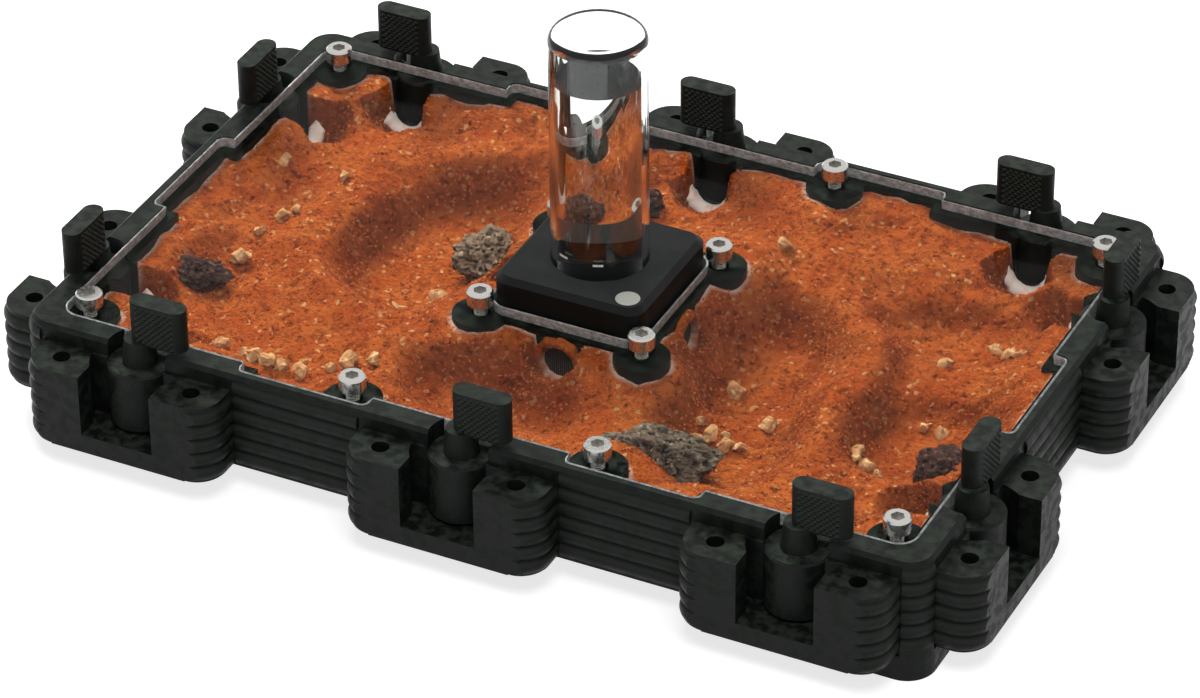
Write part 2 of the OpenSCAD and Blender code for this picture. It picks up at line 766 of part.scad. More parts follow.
// The sand's relief as one closed grid
module sand_block() {
    nx = 2 * grid_x + 1;
    ny = 2 * grid_y + 1;
    x_end = grid_x * grid_step;
    y_end = grid_y * grid_step;
    top = [for (j = [0 : ny - 1], i = [0 : nx - 1])
        let (x = i * grid_step - x_end, y = j * grid_step - y_end) [x, y, sand_z(x, y)]];
    low = [for (p = [[-1, -1], [1, -1], [1, 1], [-1, 1]]) [p[0] * x_end, p[1] * y_end, bed_top]];
    base = nx * ny;
    cells = [for (j = [0 : ny - 2], i = [0 : nx - 2]) j * nx + i];
    polyhedron(
        points = concat(top, low),
        faces = concat(
            [for (k = cells) [k, k + nx + 1, k + 1]],
            [for (k = cells) [k, k + nx, k + nx + 1]],
            [[base, base + 1, base + 2, base + 3]],
            [concat([base + 1, base], [for (i = [0 : nx - 1]) i])],
            [concat([base + 3, base + 2], [for (i = [nx - 1 : -1 : 0]) (ny - 1) * nx + i])],
            [concat([base, base + 3], [for (j = [ny - 1 : -1 : 0]) j * nx])],
            [concat([base + 2, base + 1], [for (j = [0 : ny - 1]) j * nx + nx - 1])]
        )
    );
}

// The sand from one x to another
module sand_part(x0, x1) {
    color(sand_orange) difference() {
        intersection() {
            sand_block();
            slab(bed_top, ledge_z) difference() {
                intersection() {
                    cavity_outline(fill_clear);
                    translate([x0, -module_w / 2]) square([x1 - x0, module_w]);
                }
                pedestal_outline(2 * fill_clear);
            }
        }
        for (f = station_frames) in_frame(f) {
            collar(bed_top - 1, ledge_z + 1);
            port_cut(turret_d / 2 + 9);
        }
        window_axes() cylinder(h = pedestal_w / 2 + 12, d = window_d);
    }
}

module sand_west() { sand_part(-module_l / 2, -sand_cut); }
module sand_middle() { sand_part(-sand_cut, sand_cut); }
module sand_east() { sand_part(sand_cut, module_l / 2); }

// A lumpy closed stone about the origin, [along, across, height] in size
module stone(size, seed, rings = 8, sides = 12) {
    function lump(t, p) = 1 + 0.13 * sin(3 * t + seed * 70) * sin(2 * p)
        + 0.1 * cos(2 * t - seed * 40) * sin(p) + 0.07 * sin(5 * t + 3 * p + seed * 90);
    ring_points = [for (j = [1 : rings - 1], i = [0 : sides - 1])
        let (p = 180 * j / rings, t = 360 * i / sides, r = lump(t, p) / 2)
        [size[0] * r * sin(p) * cos(t), size[1] * r * sin(p) * sin(t), -size[2] * r * cos(p)]];
    n = len(ring_points);
    last = n - sides;
    polyhedron(
        points = concat(ring_points, [[0, 0, -size[2] / 2], [0, 0, size[2] / 2]]),
        faces = concat(
            [for (i = [0 : sides - 1]) [n, i, (i + 1) % sides]],
            [for (i = [0 : sides - 1]) [n + 1, last + (i + 1) % sides, last + i]],
            [for (j = [0 : rings - 3], i = [0 : sides - 1])
                let (a = j * sides + i, b = j * sides + (i + 1) % sides) [a, a + sides, b + sides]],
            [for (j = [0 : rings - 3], i = [0 : sides - 1])
                let (a = j * sides + i, b = j * sides + (i + 1) % sides) [a, b + sides, b]]
        )
    );
}

// A stone bedded in the sand at x, y with its middle lift above the surface
module bedded(x, y, lift, turn, size, seed) {
    translate([x, y, sand_z(x, y) + lift]) rotate(turn) stone(size, seed);
}

module lava_rock_left() {
    color([0.22, 0.17, 0.17]) bedded(-81, -21, 1.2, -25, [15, 9, 6], 1);
}

module lava_rock_grey() {
    color([0.42, 0.38, 0.35]) bedded(-31, 11, 1.6, 20, [14, 13, 8], 2);
}

module lava_rock_front() {
    color([0.25, 0.22, 0.2]) bedded(34, -41, 1.2, -25, [22, 14, 8], 3);
}

module lava_rock_right() {
    color([0.2, 0.17, 0.18]) bedded(83, -21, 1.4, 60, [13, 11, 8], 4);
}

module lava_rock_back() {
    color([0.3, 0.25, 0.24]) bedded(-12, 38, 1.4, 10, [19, 11, 8], 5);
}

// Pebbles: [x, y, size]
pebble_at = [
    [-76, -6, 3.6], [-62, -31, 3.2], [-57, -36, 4], [-52, -40, 3.4], [-47, -38, 3], [-41, -33, 3.4],
    [-84, 28, 3], [-79, 14, 2.6], [-70, 34, 3], [-45, -3, 3.6], [-36, -8, 2.6],
    [29, -2, 4.2], [34, -13, 4], [28, -22, 3], [33, -24, 3.2], [38, -21, 3], [42, -25, 2.8],
    [33, 33, 3.4], [62, 17, 3.8], [75, 28, 3.4], [79, 26, 3.6], [83, 23, 3.4],
    [67, -2, 3.4], [70, -6, 3], [52, -19, 3], [57, -21, 3.6]
];

module pebbles() {
    color([0.72, 0.55, 0.38]) for (i = [0 : len(pebble_at) - 1])
        let (p = pebble_at[i])
            translate([p[0], p[1], sand_z(p[0], p[1]) + 0.15 * p[2]]) rotate(i * 47)
                stone([p[2] * 1.25, p[2], p[2] * 0.8], i, 4, 7);
}

tray_floor();
wall_front_1();
wall_front_2();
wall_back_1();
wall_back_2();
wall_left();
wall_right();
corner_front_left();
corner_front_right();
corner_back_left();
corner_back_right();
station_front_1();
station_front_2();
station_front_3();
station_back_1();
station_back_2();
station_back_3();
station_left_1();
station_left_2();
station_right_1();
station_right_2();
clear_lid();
lid_screws();
lid_inserts();
gate_front_1();
gate_front_2();
gate_front_3();
gate_back_1();
gate_back_2();
gate_back_3();
gate_left_1();
gate_left_2();
gate_right_1();
gate_right_2();
feeder_pedestal();
feeder_screws();
feeder_inserts();
mesh_screens();
feeder_block();
block_disc();
vial_seal();
glass_vial();
water_fill();
plaster_bed();
plaster_collars();
sand_west();
sand_middle();
sand_east();
lava_rock_left();
lava_rock_grey();
lava_rock_front();
lava_rock_right();
lava_rock_back();
pebbles();
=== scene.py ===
"""Looks of an ant habitat: black printed tray, sand relief, clear lid, port gates and vial feeder."""

import logging
import math
from dataclasses import dataclass, field
from enum import Enum
from typing import Iterable, Sequence

import bmesh
import bpy
import numpy as np
from mathutils import Matrix, Vector, noise


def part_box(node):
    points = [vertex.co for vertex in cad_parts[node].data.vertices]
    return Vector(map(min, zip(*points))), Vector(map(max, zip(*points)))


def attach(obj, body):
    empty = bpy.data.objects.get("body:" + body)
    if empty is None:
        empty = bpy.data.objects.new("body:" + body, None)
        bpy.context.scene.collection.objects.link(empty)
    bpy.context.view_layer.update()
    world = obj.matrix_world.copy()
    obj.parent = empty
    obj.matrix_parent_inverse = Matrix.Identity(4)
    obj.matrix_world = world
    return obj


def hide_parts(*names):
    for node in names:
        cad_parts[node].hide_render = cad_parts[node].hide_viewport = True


LOG = logging.getLogger("ant_habitat")
MM = 0.001
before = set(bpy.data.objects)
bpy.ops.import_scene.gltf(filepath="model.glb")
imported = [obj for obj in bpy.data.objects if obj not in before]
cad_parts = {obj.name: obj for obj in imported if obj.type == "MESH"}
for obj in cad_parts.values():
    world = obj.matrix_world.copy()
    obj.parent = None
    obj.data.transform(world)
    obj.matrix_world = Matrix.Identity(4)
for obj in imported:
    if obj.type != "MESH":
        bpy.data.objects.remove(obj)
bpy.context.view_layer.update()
TRAY_BODY = "tray_body"
Colour = tuple[float, float, float]


def srgb(red: float, green: float, blue: float) -> Colour:
    """Turns a display colour of 0 to 255 into the linear colour that a shader takes.

    Args:
        red: The red share.
        green: The green share.
        blue: The blue share.

    Returns:
        The linear colour.
    """
    parts = [value / 255 for value in (red, green, blue)]
    return tuple(p / 12.92 if p <= 0.04045 else ((p + 0.055) / 1.055) ** 2.4 for p in parts)


class Side(Enum):
    """The side of the habitat that a station is on, with the turn from the front side in degrees."""

    FRONT = 0
    RIGHT = 90
    BACK = 180
    LEFT = -90


@dataclass(frozen=True)
class Station:
    """One docking station.

    Attributes:
        name: The station's name, as in its gate's node.
        side: The side of the tray.
        x: Middle of the station's face, in mm.
        y: Middle of the station's face, in mm.
    """

    name: str
    side: Side
    x: float
    y: float

    def matrix(self) -> Matrix:
        """Returns the move from the station's own frame, +X along the wall and +Y inwards, in mm."""
        turn = Matrix.Rotation(math.radians(self.side.value), 4, "Z")
        return Matrix.Translation((self.x, self.y, 0)) @ turn

    def local(self, x: np.ndarray, y: np.ndarray) -> tuple[np.ndarray, np.ndarray]:
        """Finds points of the habitat in the station's own frame.

        Args:
            x: The points' x, in mm.
            y: The points' y, in mm.

        Returns:
            The points' places along the wall and inwards from it.
        """
        turn = math.radians(self.side.value)
        dx, dy = x - self.x, y - self.y
        return dx * math.cos(turn) + dy * math.sin(turn), dy * math.cos(turn) - dx * math.sin(turn)


@dataclass(frozen=True)
class HabitatPlan:
    """Sizes that the tray, the lid, the sand and the gates share, in mm.

    Attributes:
        length: The habitat's length.
        width: The habitat's width.
        pitch: Distance between the stations.
        floor_z: Top of the tray's floor.
        bed_top: Top of the plaster.
        ledge_z: The ledge that the lid lies on.
        lid_top: Top of the lid.
        port_z: Middle of the ports.
        gate_inset: The gate's axis, inwards from the station's face.
        turret_r: Radius of the turret round a gate.
        cavity_x: Half the cavity's length.
        cavity_y: Half the cavity's width.
        cavity_step: How far the cavity steps out between the stations.
        step_x: Where the long sides' steps start and end.
        step_y: Where the short sides' steps end.
        boss_r: Radius of the lid screws' bosses.
        corner_screw: Place of the corner screws.
        side_screw: Place of the long sides' screws.
        pedestal_half: Half the pedestal's width.
        ear_at: Place of the pedestal's ears.
        ear_r: Radius of the ears.
        window_z: Middle of the pedestal's windows.
    """

    length: float = 216.0
    width: float = 144.0
    pitch: float = 72.0
    floor_z: float = 8.0
    bed_top: float = 9.6
    ledge_z: float = 24.0
    lid_top: float = 27.0
    port_z: float = 16.65
    gate_inset: float = 11.0
    turret_r: float = 8.4
    cavity_x: float = 91.1
    cavity_y: float = 55.1
    cavity_step: float = 3.1
    step_x: tuple[float, float] = (21.5, 50.5)
    step_y: float = 14.5
    boss_r: float = 6.0
    corner_screw: tuple[float, float] = (88.5, 52.5)
    side_screw: tuple[float, float] = (26.85, 55.6)
    pedestal_half: float = 18.7
    ear_at: float = 18.0
    ear_r: float = 5.8
    window_z: float = 17.7

    def stations(self) -> list[Station]:
        """Returns the ten stations."""
        found = []
        for i, x in enumerate((-self.pitch, 0.0, self.pitch), 1):
            found.append(Station(f"front_{i}", Side.FRONT, x, -self.width / 2))
            found.append(Station(f"back_{i}", Side.BACK, x, self.width / 2))
        for i, y in enumerate((-self.pitch / 2, self.pitch / 2), 1):
            found.append(Station(f"left_{i}", Side.LEFT, -self.length / 2, y))
            found.append(Station(f"right_{i}", Side.RIGHT, self.length / 2, y))
        return found

    def lid_screws(self) -> list[tuple[float, float]]:
        """Returns the places of the eight lid screws."""
        spots = (self.corner_screw, self.side_screw)
        return [(sx * x, sy * y) for x, y in spots for sx in (-1, 1) for sy in (-1, 1)]

    def feeder_screws(self) -> list[tuple[float, float]]:
        """Returns the places of the four feeder screws."""
        return [(sx * self.ear_at, sy * self.ear_at) for sx in (-1, 1) for sy in (-1, 1)]

    def wall_gap(self, x: np.ndarray, y: np.ndarray) -> np.ndarray:
        """Finds how far points are inside the cavity's walls.

        Args:
            x: The points' x, in mm.
            y: The points' y, in mm.

        Returns:
            The distances in mm, negative outside the walls.
        """
        main = np.minimum(self.cavity_x - np.abs(x), self.cavity_y - np.abs(y))
        low, high = self.step_x
        long_step = np.minimum(
            np.minimum(np.abs(x) - low, high - np.abs(x)), self.cavity_y + self.cavity_step - np.abs(y)
        )
        short_step = np.minimum(self.step_y - np.abs(y), self.cavity_x + self.cavity_step - np.abs(x))
        return np.maximum(main, np.maximum(long_step, short_step))

    def solid_depth(self, x: np.ndarray, y: np.ndarray) -> np.ndarray:
        """Finds how deep points are in the walls, bosses, turrets or pedestal.

        Args:
            x: The points' x, in mm.
            y: The points' y, in mm.

        Returns:
            The depths in mm, negative in the open.
        """
        deep = -self.wall_gap(x, y)
        for bx, by in self.lid_screws():
            deep = np.maximum(deep, self.boss_r - np.hypot(x - bx, y - by))
        for station in self.stations():
            s, d = station.local(x, y)
            deep = np.maximum(deep, self.turret_r - np.hypot(s, d - self.gate_inset))
        half = self.pedestal_half
        deep = np.maximum(deep, np.minimum(half - np.abs(x), half - np.abs(y)))
        for ex, ey in self.feeder_screws():
            deep = np.maximum(deep, self.ear_r - np.hypot(x - ex, y - ey))
        return deep


PLAN = HabitatPlan()


# ---- Node trees ----


class Wiring:
    """Adds nodes to one tree and links them."""

    def __init__(self, tree: bpy.types.NodeTree) -> None:
        """Keeps the tree.

        Args:
            tree: The shader or geometry tree to build.
        """
        self.tree = tree

    def add(self, kind: str, ins: dict | None = None, **settings: object) -> bpy.types.Node:
        """Adds a node.

        Args:
            kind: The node's type name.
            ins: Input name or number to a value, or to a socket that is linked to it.
            **settings: Properties of the node.

        Returns:
            The node.
        """
        made = self.tree.nodes.new(kind)
        for name, value in settings.items():
            setattr(made, name, value)
        for key, value in (ins or {}).items():
            if isinstance(value, bpy.types.NodeSocket):
                self.tree.links.new(value, made.inputs[key])
            else:
                made.inputs[key].default_value = value
        return made

    def math(self, operation: str, *values: object) -> bpy.types.NodeSocket:
        """Adds a maths node.

        Args:
            operation: The node's operation.
            *values: Numbers or sockets.

        Returns:
            The node's output.
        """
        return self.add("ShaderNodeMath", dict(enumerate(values)), operation=operation).outputs[0]

    def ramp(self, value: object, low: float, high: float,
             to: tuple[float, float] = (0, 1)) -> bpy.types.NodeSocket:
        """Maps a range smoothly.

        Args:
            value: The socket that is mapped.
            low: Start of its range.
            high: End of its range.
            to: The new range.

        Returns:
            The mapped value.
        """
        ins = {"Value": value, "From Min": low, "From Max": high, "To Min": to[0], "To Max": to[1]}
        return self.add("ShaderNodeMapRange", ins, interpolation_type="SMOOTHSTEP").outputs["Result"]

    def mix(self, share: object, first: object, second: object) -> bpy.types.NodeSocket:
        """Mixes two colours.

        Args:
            share: How much of the second colour shows.
            first: A colour or socket.
            second: A colour or socket.

        Returns:
            The mixed colour.
        """
        made = self.add("ShaderNodeMix", data_type="RGBA")
        for key, value in ((0, share), (6, first), (7, second)):
            if isinstance(value, bpy.types.NodeSocket):
                self.tree.links.new(value, made.inputs[key])
            else:
                made.inputs[key].default_value = (*value, 1) if isinstance(value, tuple) else value
        return made.outputs[2]

    def noise(self, place: object, scale: float, detail: float = 3,
              rough: float = 0.55) -> bpy.types.NodeSocket:
        """Adds a noise texture.

        Args:
            place: The coordinate socket.
            scale: Its scale, per metre.
            detail: Octaves.
            rough: How strong the fine octaves are.

        Returns:
            The noise's value.
        """
        ins = {"Vector": place, "Scale": scale, "Detail": detail, "Roughness": rough}
        return self.add("ShaderNodeTexNoise", ins).outputs["Fac"]

    def place(self) -> bpy.types.NodeSocket:
        """Returns the object's own coordinates, in metres."""
        return self.add("ShaderNodeTexCoord").outputs["Object"]

    def named(self, attribute: str) -> bpy.types.NodeSocket:
        """Returns a mesh attribute's value, which is 0 where the mesh lacks it.

        Args:
            attribute: The attribute's name.
        """
        return self.add("ShaderNodeAttribute", attribute_name=attribute).outputs["Fac"]


def shader_group(name: str, inputs: dict[str, float],
                 outputs: Sequence[str]) -> tuple[bpy.types.NodeTree, Wiring]:
    """Starts a shader node group that puts out masks and heights.

    Args:
        name: The group's name.
        inputs: Input name to its usual value.
        outputs: Names of the outputs, which are all numbers.

    Returns:
        The group and its wiring.
    """
    tree = bpy.data.node_groups.new(name, "ShaderNodeTree")
    number = "NodeSocketFloat"
    for label, value in inputs.items():
        tree.interface.new_socket(label, in_out="INPUT", socket_type=number).default_value = value
    for label in outputs:
        tree.interface.new_socket(label, in_out="OUTPUT", socket_type=number)
    return tree, Wiring(tree)


def print_grain_group() -> bpy.types.NodeTree:
    """Builds the grain of printed plastic: fine layers on walls and a mottled top.

    Returns:
        The group, with a height, a mottle mask, a mask of upward faces, and masks of faces that tilt
        downwards and slightly upwards, for painted shade and a painted highlight.
    """
    tree, w = shader_group(
        "PrintGrain",
        {"Layer": 0.0002, "Grain": 2600.0, "Mottle": 420.0},
        ("Height", "Mottle", "Top", "Painted Shade", "Painted Highlight"),
    )
    ins = w.add("NodeGroupInput").outputs
    coords = w.add("ShaderNodeTexCoord").outputs
    place = coords["Object"]
    up = w.add("ShaderNodeSeparateXYZ", {0: coords["Normal"]}).outputs["Z"]
    top = w.ramp(up, 0.6, 0.95)
    z = w.add("ShaderNodeSeparateXYZ", {0: place}).outputs["Z"]
    layers = w.math("SINE", w.math("MULTIPLY", w.math("DIVIDE", z, ins["Layer"]), 2 * math.pi))
    grain = w.add("ShaderNodeTexNoise", {"Vector": place, "Scale": ins["Grain"], "Detail": 2.0})
    spots = w.add("ShaderNodeTexNoise", {"Vector": place, "Scale": ins["Mottle"], "Detail": 5.0})
    mottle = spots.outputs["Fac"]
    walls = w.math("MULTIPLY", w.math("MULTIPLY", layers, 0.12), w.math("SUBTRACT", 1.0, top))
    fine = w.math("ADD", grain.outputs["Fac"], walls)
    w.add("NodeGroupOutput", {
        "Height": w.math("ADD", fine, w.math("MULTIPLY", mottle, 0.8)),
        "Mottle": w.ramp(mottle, 0.38, 0.66),
        "Top": top,
        # painted shade mask: faces that tilt downwards
        "Painted Shade": w.ramp(up, -0.12, -0.46),
        # painted highlight mask: faces that tilt slightly upwards
        "Painted Highlight": w.math("MULTIPLY", w.ramp(up, 0.06, 0.34), w.ramp(up, 0.62, 0.5)),
    })
    return tree


def sand_grain_group() -> bpy.types.NodeTree:
    """Builds the pattern of bound sand: patches, single grains and bright specks, which are pale grains
    that also serve as painted glints.

    Returns:
        The group, with patch, grain and glint-grain masks and a height.
    """
    tree, w = shader_group(
        "SandGrain",
        {"Patch": 130.0, "Grain": 1250.0},
        ("Patch", "Grain", "Glint Grain", "Height"),
    )
    ins = w.add("NodeGroupInput").outputs
    place = w.place()
    patch = w.add("ShaderNodeTexNoise", {"Vector": place, "Scale": ins["Patch"], "Detail": 4.0})
    bent = w.add("ShaderNodeTexNoise", {"Vector": place, "Scale": 700.0, "Detail": 2.0})
    reach = (0.0011, 0.0011, 0.0011)
    pushed = w.add("ShaderNodeVectorMath", {
        0: bent.outputs["Color"], 1: reach, 2: place}, operation="MULTIPLY_ADD")
    cells = w.add("ShaderNodeTexVoronoi", {
        "Vector": pushed.outputs[0], "Scale": ins["Grain"]}, feature="F1")
    tone = w.add("ShaderNodeSeparateColor", {0: cells.outputs["Color"]}).outputs
    crumbs = w.noise(place, 520.0, 4, 0.7)
    fine = w.noise(place, 2400.0, 3, 0.7)
    dark_crumbs = w.ramp(crumbs, 0.6, 0.38, (0.35, 1.0))
    w.add("NodeGroupOutput", {
        "Patch": w.ramp(patch.outputs["Fac"], 0.36, 0.64),
        "Grain": w.math("MULTIPLY", w.math("POWER", tone[0], 1.5), dark_crumbs),
        # pale grains, which also serve as painted glints
        "Glint Grain": w.ramp(tone[1], 0.955, 0.975),
        "Height": w.math("ADD", w.math("MULTIPLY", crumbs, 1.6), w.math("MULTIPLY", fine, 0.7)),
    })
    return tree


GROUPS = {"PrintGrain": print_grain_group, "SandGrain": sand_grain_group}


def shared_group(name: str) -> bpy.types.NodeTree:
    """Finds a shared shader group, or builds it on first use.

    Args:
        name: The group's name.

    Returns:
        The group.
    """
    return bpy.data.node_groups.get(name) or GROUPS[name]()


# ---- Finishes ----


MADE: dict[str, bpy.types.Material] = {}


class Finish:
    """Base of the finishes: a named material around one Principled shader.

    Attributes:
        name: The material's name.
    """

    name: str

    def material(self) -> bpy.types.Material:
        """Returns the finish's material, made once."""
        if self.name in MADE:
            return MADE[self.name]
        made = MADE[self.name] = bpy.data.materials.new(self.name)
        made.use_nodes = True
        tree = made.node_tree
        tree.nodes.clear()
        wiring = Wiring(tree)
        shader = wiring.add("ShaderNodeBsdfPrincipled")
        out = wiring.add("ShaderNodeOutputMaterial", {"Surface": shader.outputs[0]})
        self.wire(wiring, shader, out)
        return made

    def wire(self, w: Wiring, shader: bpy.types.Node, out: bpy.types.Node) -> None:
        """Sets the shader's inputs.

        Args:
            w: The material's wiring.
            shader: The Principled shader.
            out: The material's output.
        """
        raise NotImplementedError

    @staticmethod
    def bump(w: Wiring, shader: bpy.types.Node, height: object, strength: float, depth: float) -> None:
        """Puts a bump on the shader.

        Args:
            w: The material's wiring.
            shader: The Principled shader.
            height: The height socket.
            strength: How strong it is.
            depth: Its depth, in metres.
        """
        made = w.add("ShaderNodeBump", {"Strength": strength, "Distance": depth, "Height": height})
        w.tree.links.new(made.outputs["Normal"], shader.inputs["Normal"])

    @staticmethod
    def let_light_through(w: Wiring, shader: bpy.types.Node, out: bpy.types.Node, tint: Colour) -> None:
        """Lets lamps shine through a clear piece, which would otherwise throw a black shadow.

        Args:
            w: The material's wiring.
            shader: The Principled shader.
            out: The material's output.
            tint: The colour of the light that passes.
        """
        path = w.add("ShaderNodeLightPath").outputs
        passing = w.math("MAXIMUM", path["Is Shadow Ray"], path["Is Diffuse Ray"])
        clear = w.add("ShaderNodeBsdfTransparent", {"Color": (*tint, 1)})
        both = w.add("ShaderNodeMixShader", {0: passing, 1: shader.outputs[0], 2: clear.outputs[0]})
        w.tree.links.new(both.outputs[0], out.inputs["Surface"])


@dataclass(frozen=True)
class PrintedBlack(Finish):
    """Black printed plastic, with painted shade on downward faces and a painted highlight and sheen on
    upward ones.

    Attributes:
        name: The material's name.
        dark: Colour of the walls.
        light: Colour of the mottled spots, which are denser on upward faces as a painted sheen, and of the
            painted highlight on upward-tilted faces.
        rough: Lowest roughness.
        strength: Strength of its bump.
        underside_shade: Colour of the painted shade on downward faces, such as the lower flank of each
            rib.
    """

    name: str = "printed_black"
    dark: Colour = srgb(13, 16, 14)
    light: Colour = srgb(38, 43, 37)
    rough: float = 0.42
    strength: float = 0.5
    underside_shade: Colour = srgb(3, 4, 3)

    def wire(self, w: Wiring, shader: bpy.types.Node, out: bpy.types.Node) -> None:
        """Wires layers, grain and mottle, with a painted sheen on upward faces, a painted highlight on
        upward-tilted faces and painted shade on downward ones. See Finish.wire.
        """
        grain = w.add("ShaderNodeGroup", node_tree=shared_group("PrintGrain")).outputs
        # mottle, denser on upward faces: real print texture and a painted sheen
        spots = w.math("MULTIPLY", grain["Mottle"], w.math("MULTIPLY_ADD", grain["Top"], 0.75, 0.25))
        base = w.mix(spots, self.dark, self.light)
        # painted highlight on faces that tilt slightly upwards, such as the ribs' upper flanks
        base = w.mix(w.math("MULTIPLY", grain["Painted Highlight"], 0.5), base, self.light)
        # painted shade on downward faces, such as the ribs' lower flanks
        base = w.mix(w.math("MULTIPLY", grain["Painted Shade"], 0.92), base, self.underside_shade)
        w.tree.links.new(base, shader.inputs["Base Color"])
        rough = w.ramp(grain["Mottle"], 0.0, 1.0, (self.rough, self.rough + 0.2))
        w.tree.links.new(rough, shader.inputs["Roughness"])
        shader.inputs["Specular IOR Level"].default_value = 0.14
        self.bump(w, shader, grain["Height"], self.strength, 0.00012)


@dataclass(frozen=True)
class SatinBlack(Finish):
    """Smooth black plastic of the feeder block.

    Attributes:
        name: The material's name.
        colour: Its colour, without dust.
    """

    name: str = "satin_black"
    colour: Colour = srgb(15, 17, 16)

    def wire(self, w: Wiring, shader: bpy.types.Node, out: bpy.types.Node) -> None:
        """Wires a smooth satin face with a little dust. See Finish.wire."""
        place = w.place()
        dust = w.ramp(w.noise(place, 900.0, 5, 0.7), 0.62, 0.8)
        w.tree.links.new(w.mix(dust, self.colour, srgb(44, 44, 41)), shader.inputs["Base Color"])
        rough = w.ramp(w.noise(place, 160.0), 0.3, 0.7, (0.4, 0.54))
        w.tree.links.new(rough, shader.inputs["Roughness"])
        shader.inputs["Specular IOR Level"].default_value = 0.14
        self.bump(w, shader, w.noise(place, 2600.0, 2), 0.25, 0.00008)


@dataclass(frozen=True)
class BoundSand(Finish):
    """Orange sand, paler along its thin edges, where plaster shows, with painted shade on steep and hollow
    places and pale grains that also serve as painted glints.

    Attributes:
        name: The material's name.
        mid: Main colour.
        dark: Colour of dark grains.
        light: Colour of light grains.
        glint_grain: Colour of the brightest grains, which also serve as painted glints.
        deep: Colour of the painted shade on steep and hollow places.
        plaster: Colour of the plaster.
    """

    name: str = "bound_sand"
    mid: Colour = srgb(186, 84, 30)
    dark: Colour = srgb(92, 33, 9)
    light: Colour = srgb(216, 118, 52)
    glint_grain: Colour = srgb(238, 190, 132)
    deep: Colour = srgb(88, 30, 9)
    plaster: Colour = srgb(226, 196, 178)

    def wire(self, w: Wiring, shader: bpy.types.Node, out: bpy.types.Node) -> None:
        """Wires grains, patches, specks that also serve as painted glints, painted shade on steep and
        hollow places, and the pale edge. See Finish.wire.
        """
        grain = w.add("ShaderNodeGroup", node_tree=shared_group("SandGrain")).outputs
        base = w.mix(w.math("MULTIPLY", grain["Patch"], 0.55), self.mid, self.light)
        base = w.mix(w.math("MULTIPLY", grain["Grain"], 0.95), base, self.dark)
        # pale grains, which also serve as painted glints
        base = w.mix(w.math("MULTIPLY", grain["Glint Grain"], 0.5), base, self.glint_grain)
        # painted shade, darker on steep slopes and in hollows
        base = w.mix(w.math("MULTIPLY", w.named("painted_shade"), 0.6), base, self.deep)
        w.tree.links.new(w.mix(w.named("pale"), base, self.plaster), shader.inputs["Base Color"])
        shader.inputs["Roughness"].default_value = 0.9
        shader.inputs["Specular IOR Level"].default_value = 0.25
        self.bump(w, shader, grain["Height"], 1.0, 0.0011)


@dataclass(frozen=True)
class ChalkyPlaster(Finish):
    """Pink-white plaster, and in another colour the ink of the vial's marks.

    Attributes:
        name: The material's name.
        colour: Its colour, without stains.
    """

    name: str = "chalky_plaster"
    colour: Colour = srgb(240, 222, 212)

    def wire(self, w: Wiring, shader: bpy.types.Node, out: bpy.types.Node) -> None:
        """Wires a chalky face with sand stains. See Finish.wire."""
        place = w.place()
        stain = w.ramp(w.noise(place, 420.0, 4, 0.65), 0.52, 0.72, (0, 0.7))
        w.tree.links.new(w.mix(stain, self.colour, srgb(222, 160, 128)), shader.inputs["Base Color"])
        shader.inputs["Roughness"].default_value = 0.85
        self.bump(w, shader, w.noise(place, 1500.0, 3), 0.4, 0.0002)


@dataclass(frozen=True)
class Stone(Finish):
    """Stone of a lava rock or a pebble, with painted shade in its pores.

    Attributes:
        name: The material's name.
        mid: Main colour.
        dark: Colour of dark spots; the pores get a darker painted shade.
        light: Colour of light spots.
        scale: Scale of the spots, per metre.
        rough: Roughness.
    """

    name: str
    mid: Colour
    dark: Colour
    light: Colour
    scale: float = 700.0
    rough: float = 0.85

    def wire(self, w: Wiring, shader: bpy.types.Node, out: bpy.types.Node) -> None:
        """Wires light and dark spots, and painted shade in the pores. See Finish.wire."""
        place = w.place()
        spots = w.noise(place, self.scale, 5, 0.7)
        base = w.mix(w.ramp(spots, 0.5, 0.36), self.mid, self.dark)
        base = w.mix(w.ramp(w.noise(place, self.scale * 1.7, 4, 0.6), 0.55, 0.68), base, self.light)
        # painted shade: the pores are darkened as if light did not reach into them
        base = w.mix(w.math("MULTIPLY", w.named("hole"), 0.85), base, srgb(20, 14, 12))
        w.tree.links.new(base, shader.inputs["Base Color"])
        shader.inputs["Roughness"].default_value = self.rough
        shader.inputs["Specular IOR Level"].default_value = 0.3
        self.bump(w, shader, spots, 0.8, 0.0004)


@dataclass(frozen=True)
class Metal(Finish):
    """Bare metal with fine turning marks.

    Attributes:
        name: The material's name.
        colour: Colour of the metal.
        rough: Lowest roughness.
    """

    name: str
    colour: Colour
    rough: float = 0.2

    def wire(self, w: Wiring, shader: bpy.types.Node, out: bpy.types.Node) -> None:
        """Wires the metal and its marks. See Finish.wire."""
        place = w.place()
        marks = w.noise(place, 1400.0, 3)
        shader.inputs["Base Color"].default_value = (*self.colour, 1)
        shader.inputs["Metallic"].default_value = 1.0
        rough = w.ramp(marks, 0.3, 0.7, (self.rough, self.rough + 0.14))
        w.tree.links.new(rough, shader.inputs["Roughness"])
        self.bump(w, shader, marks, 0.12, 0.00004)


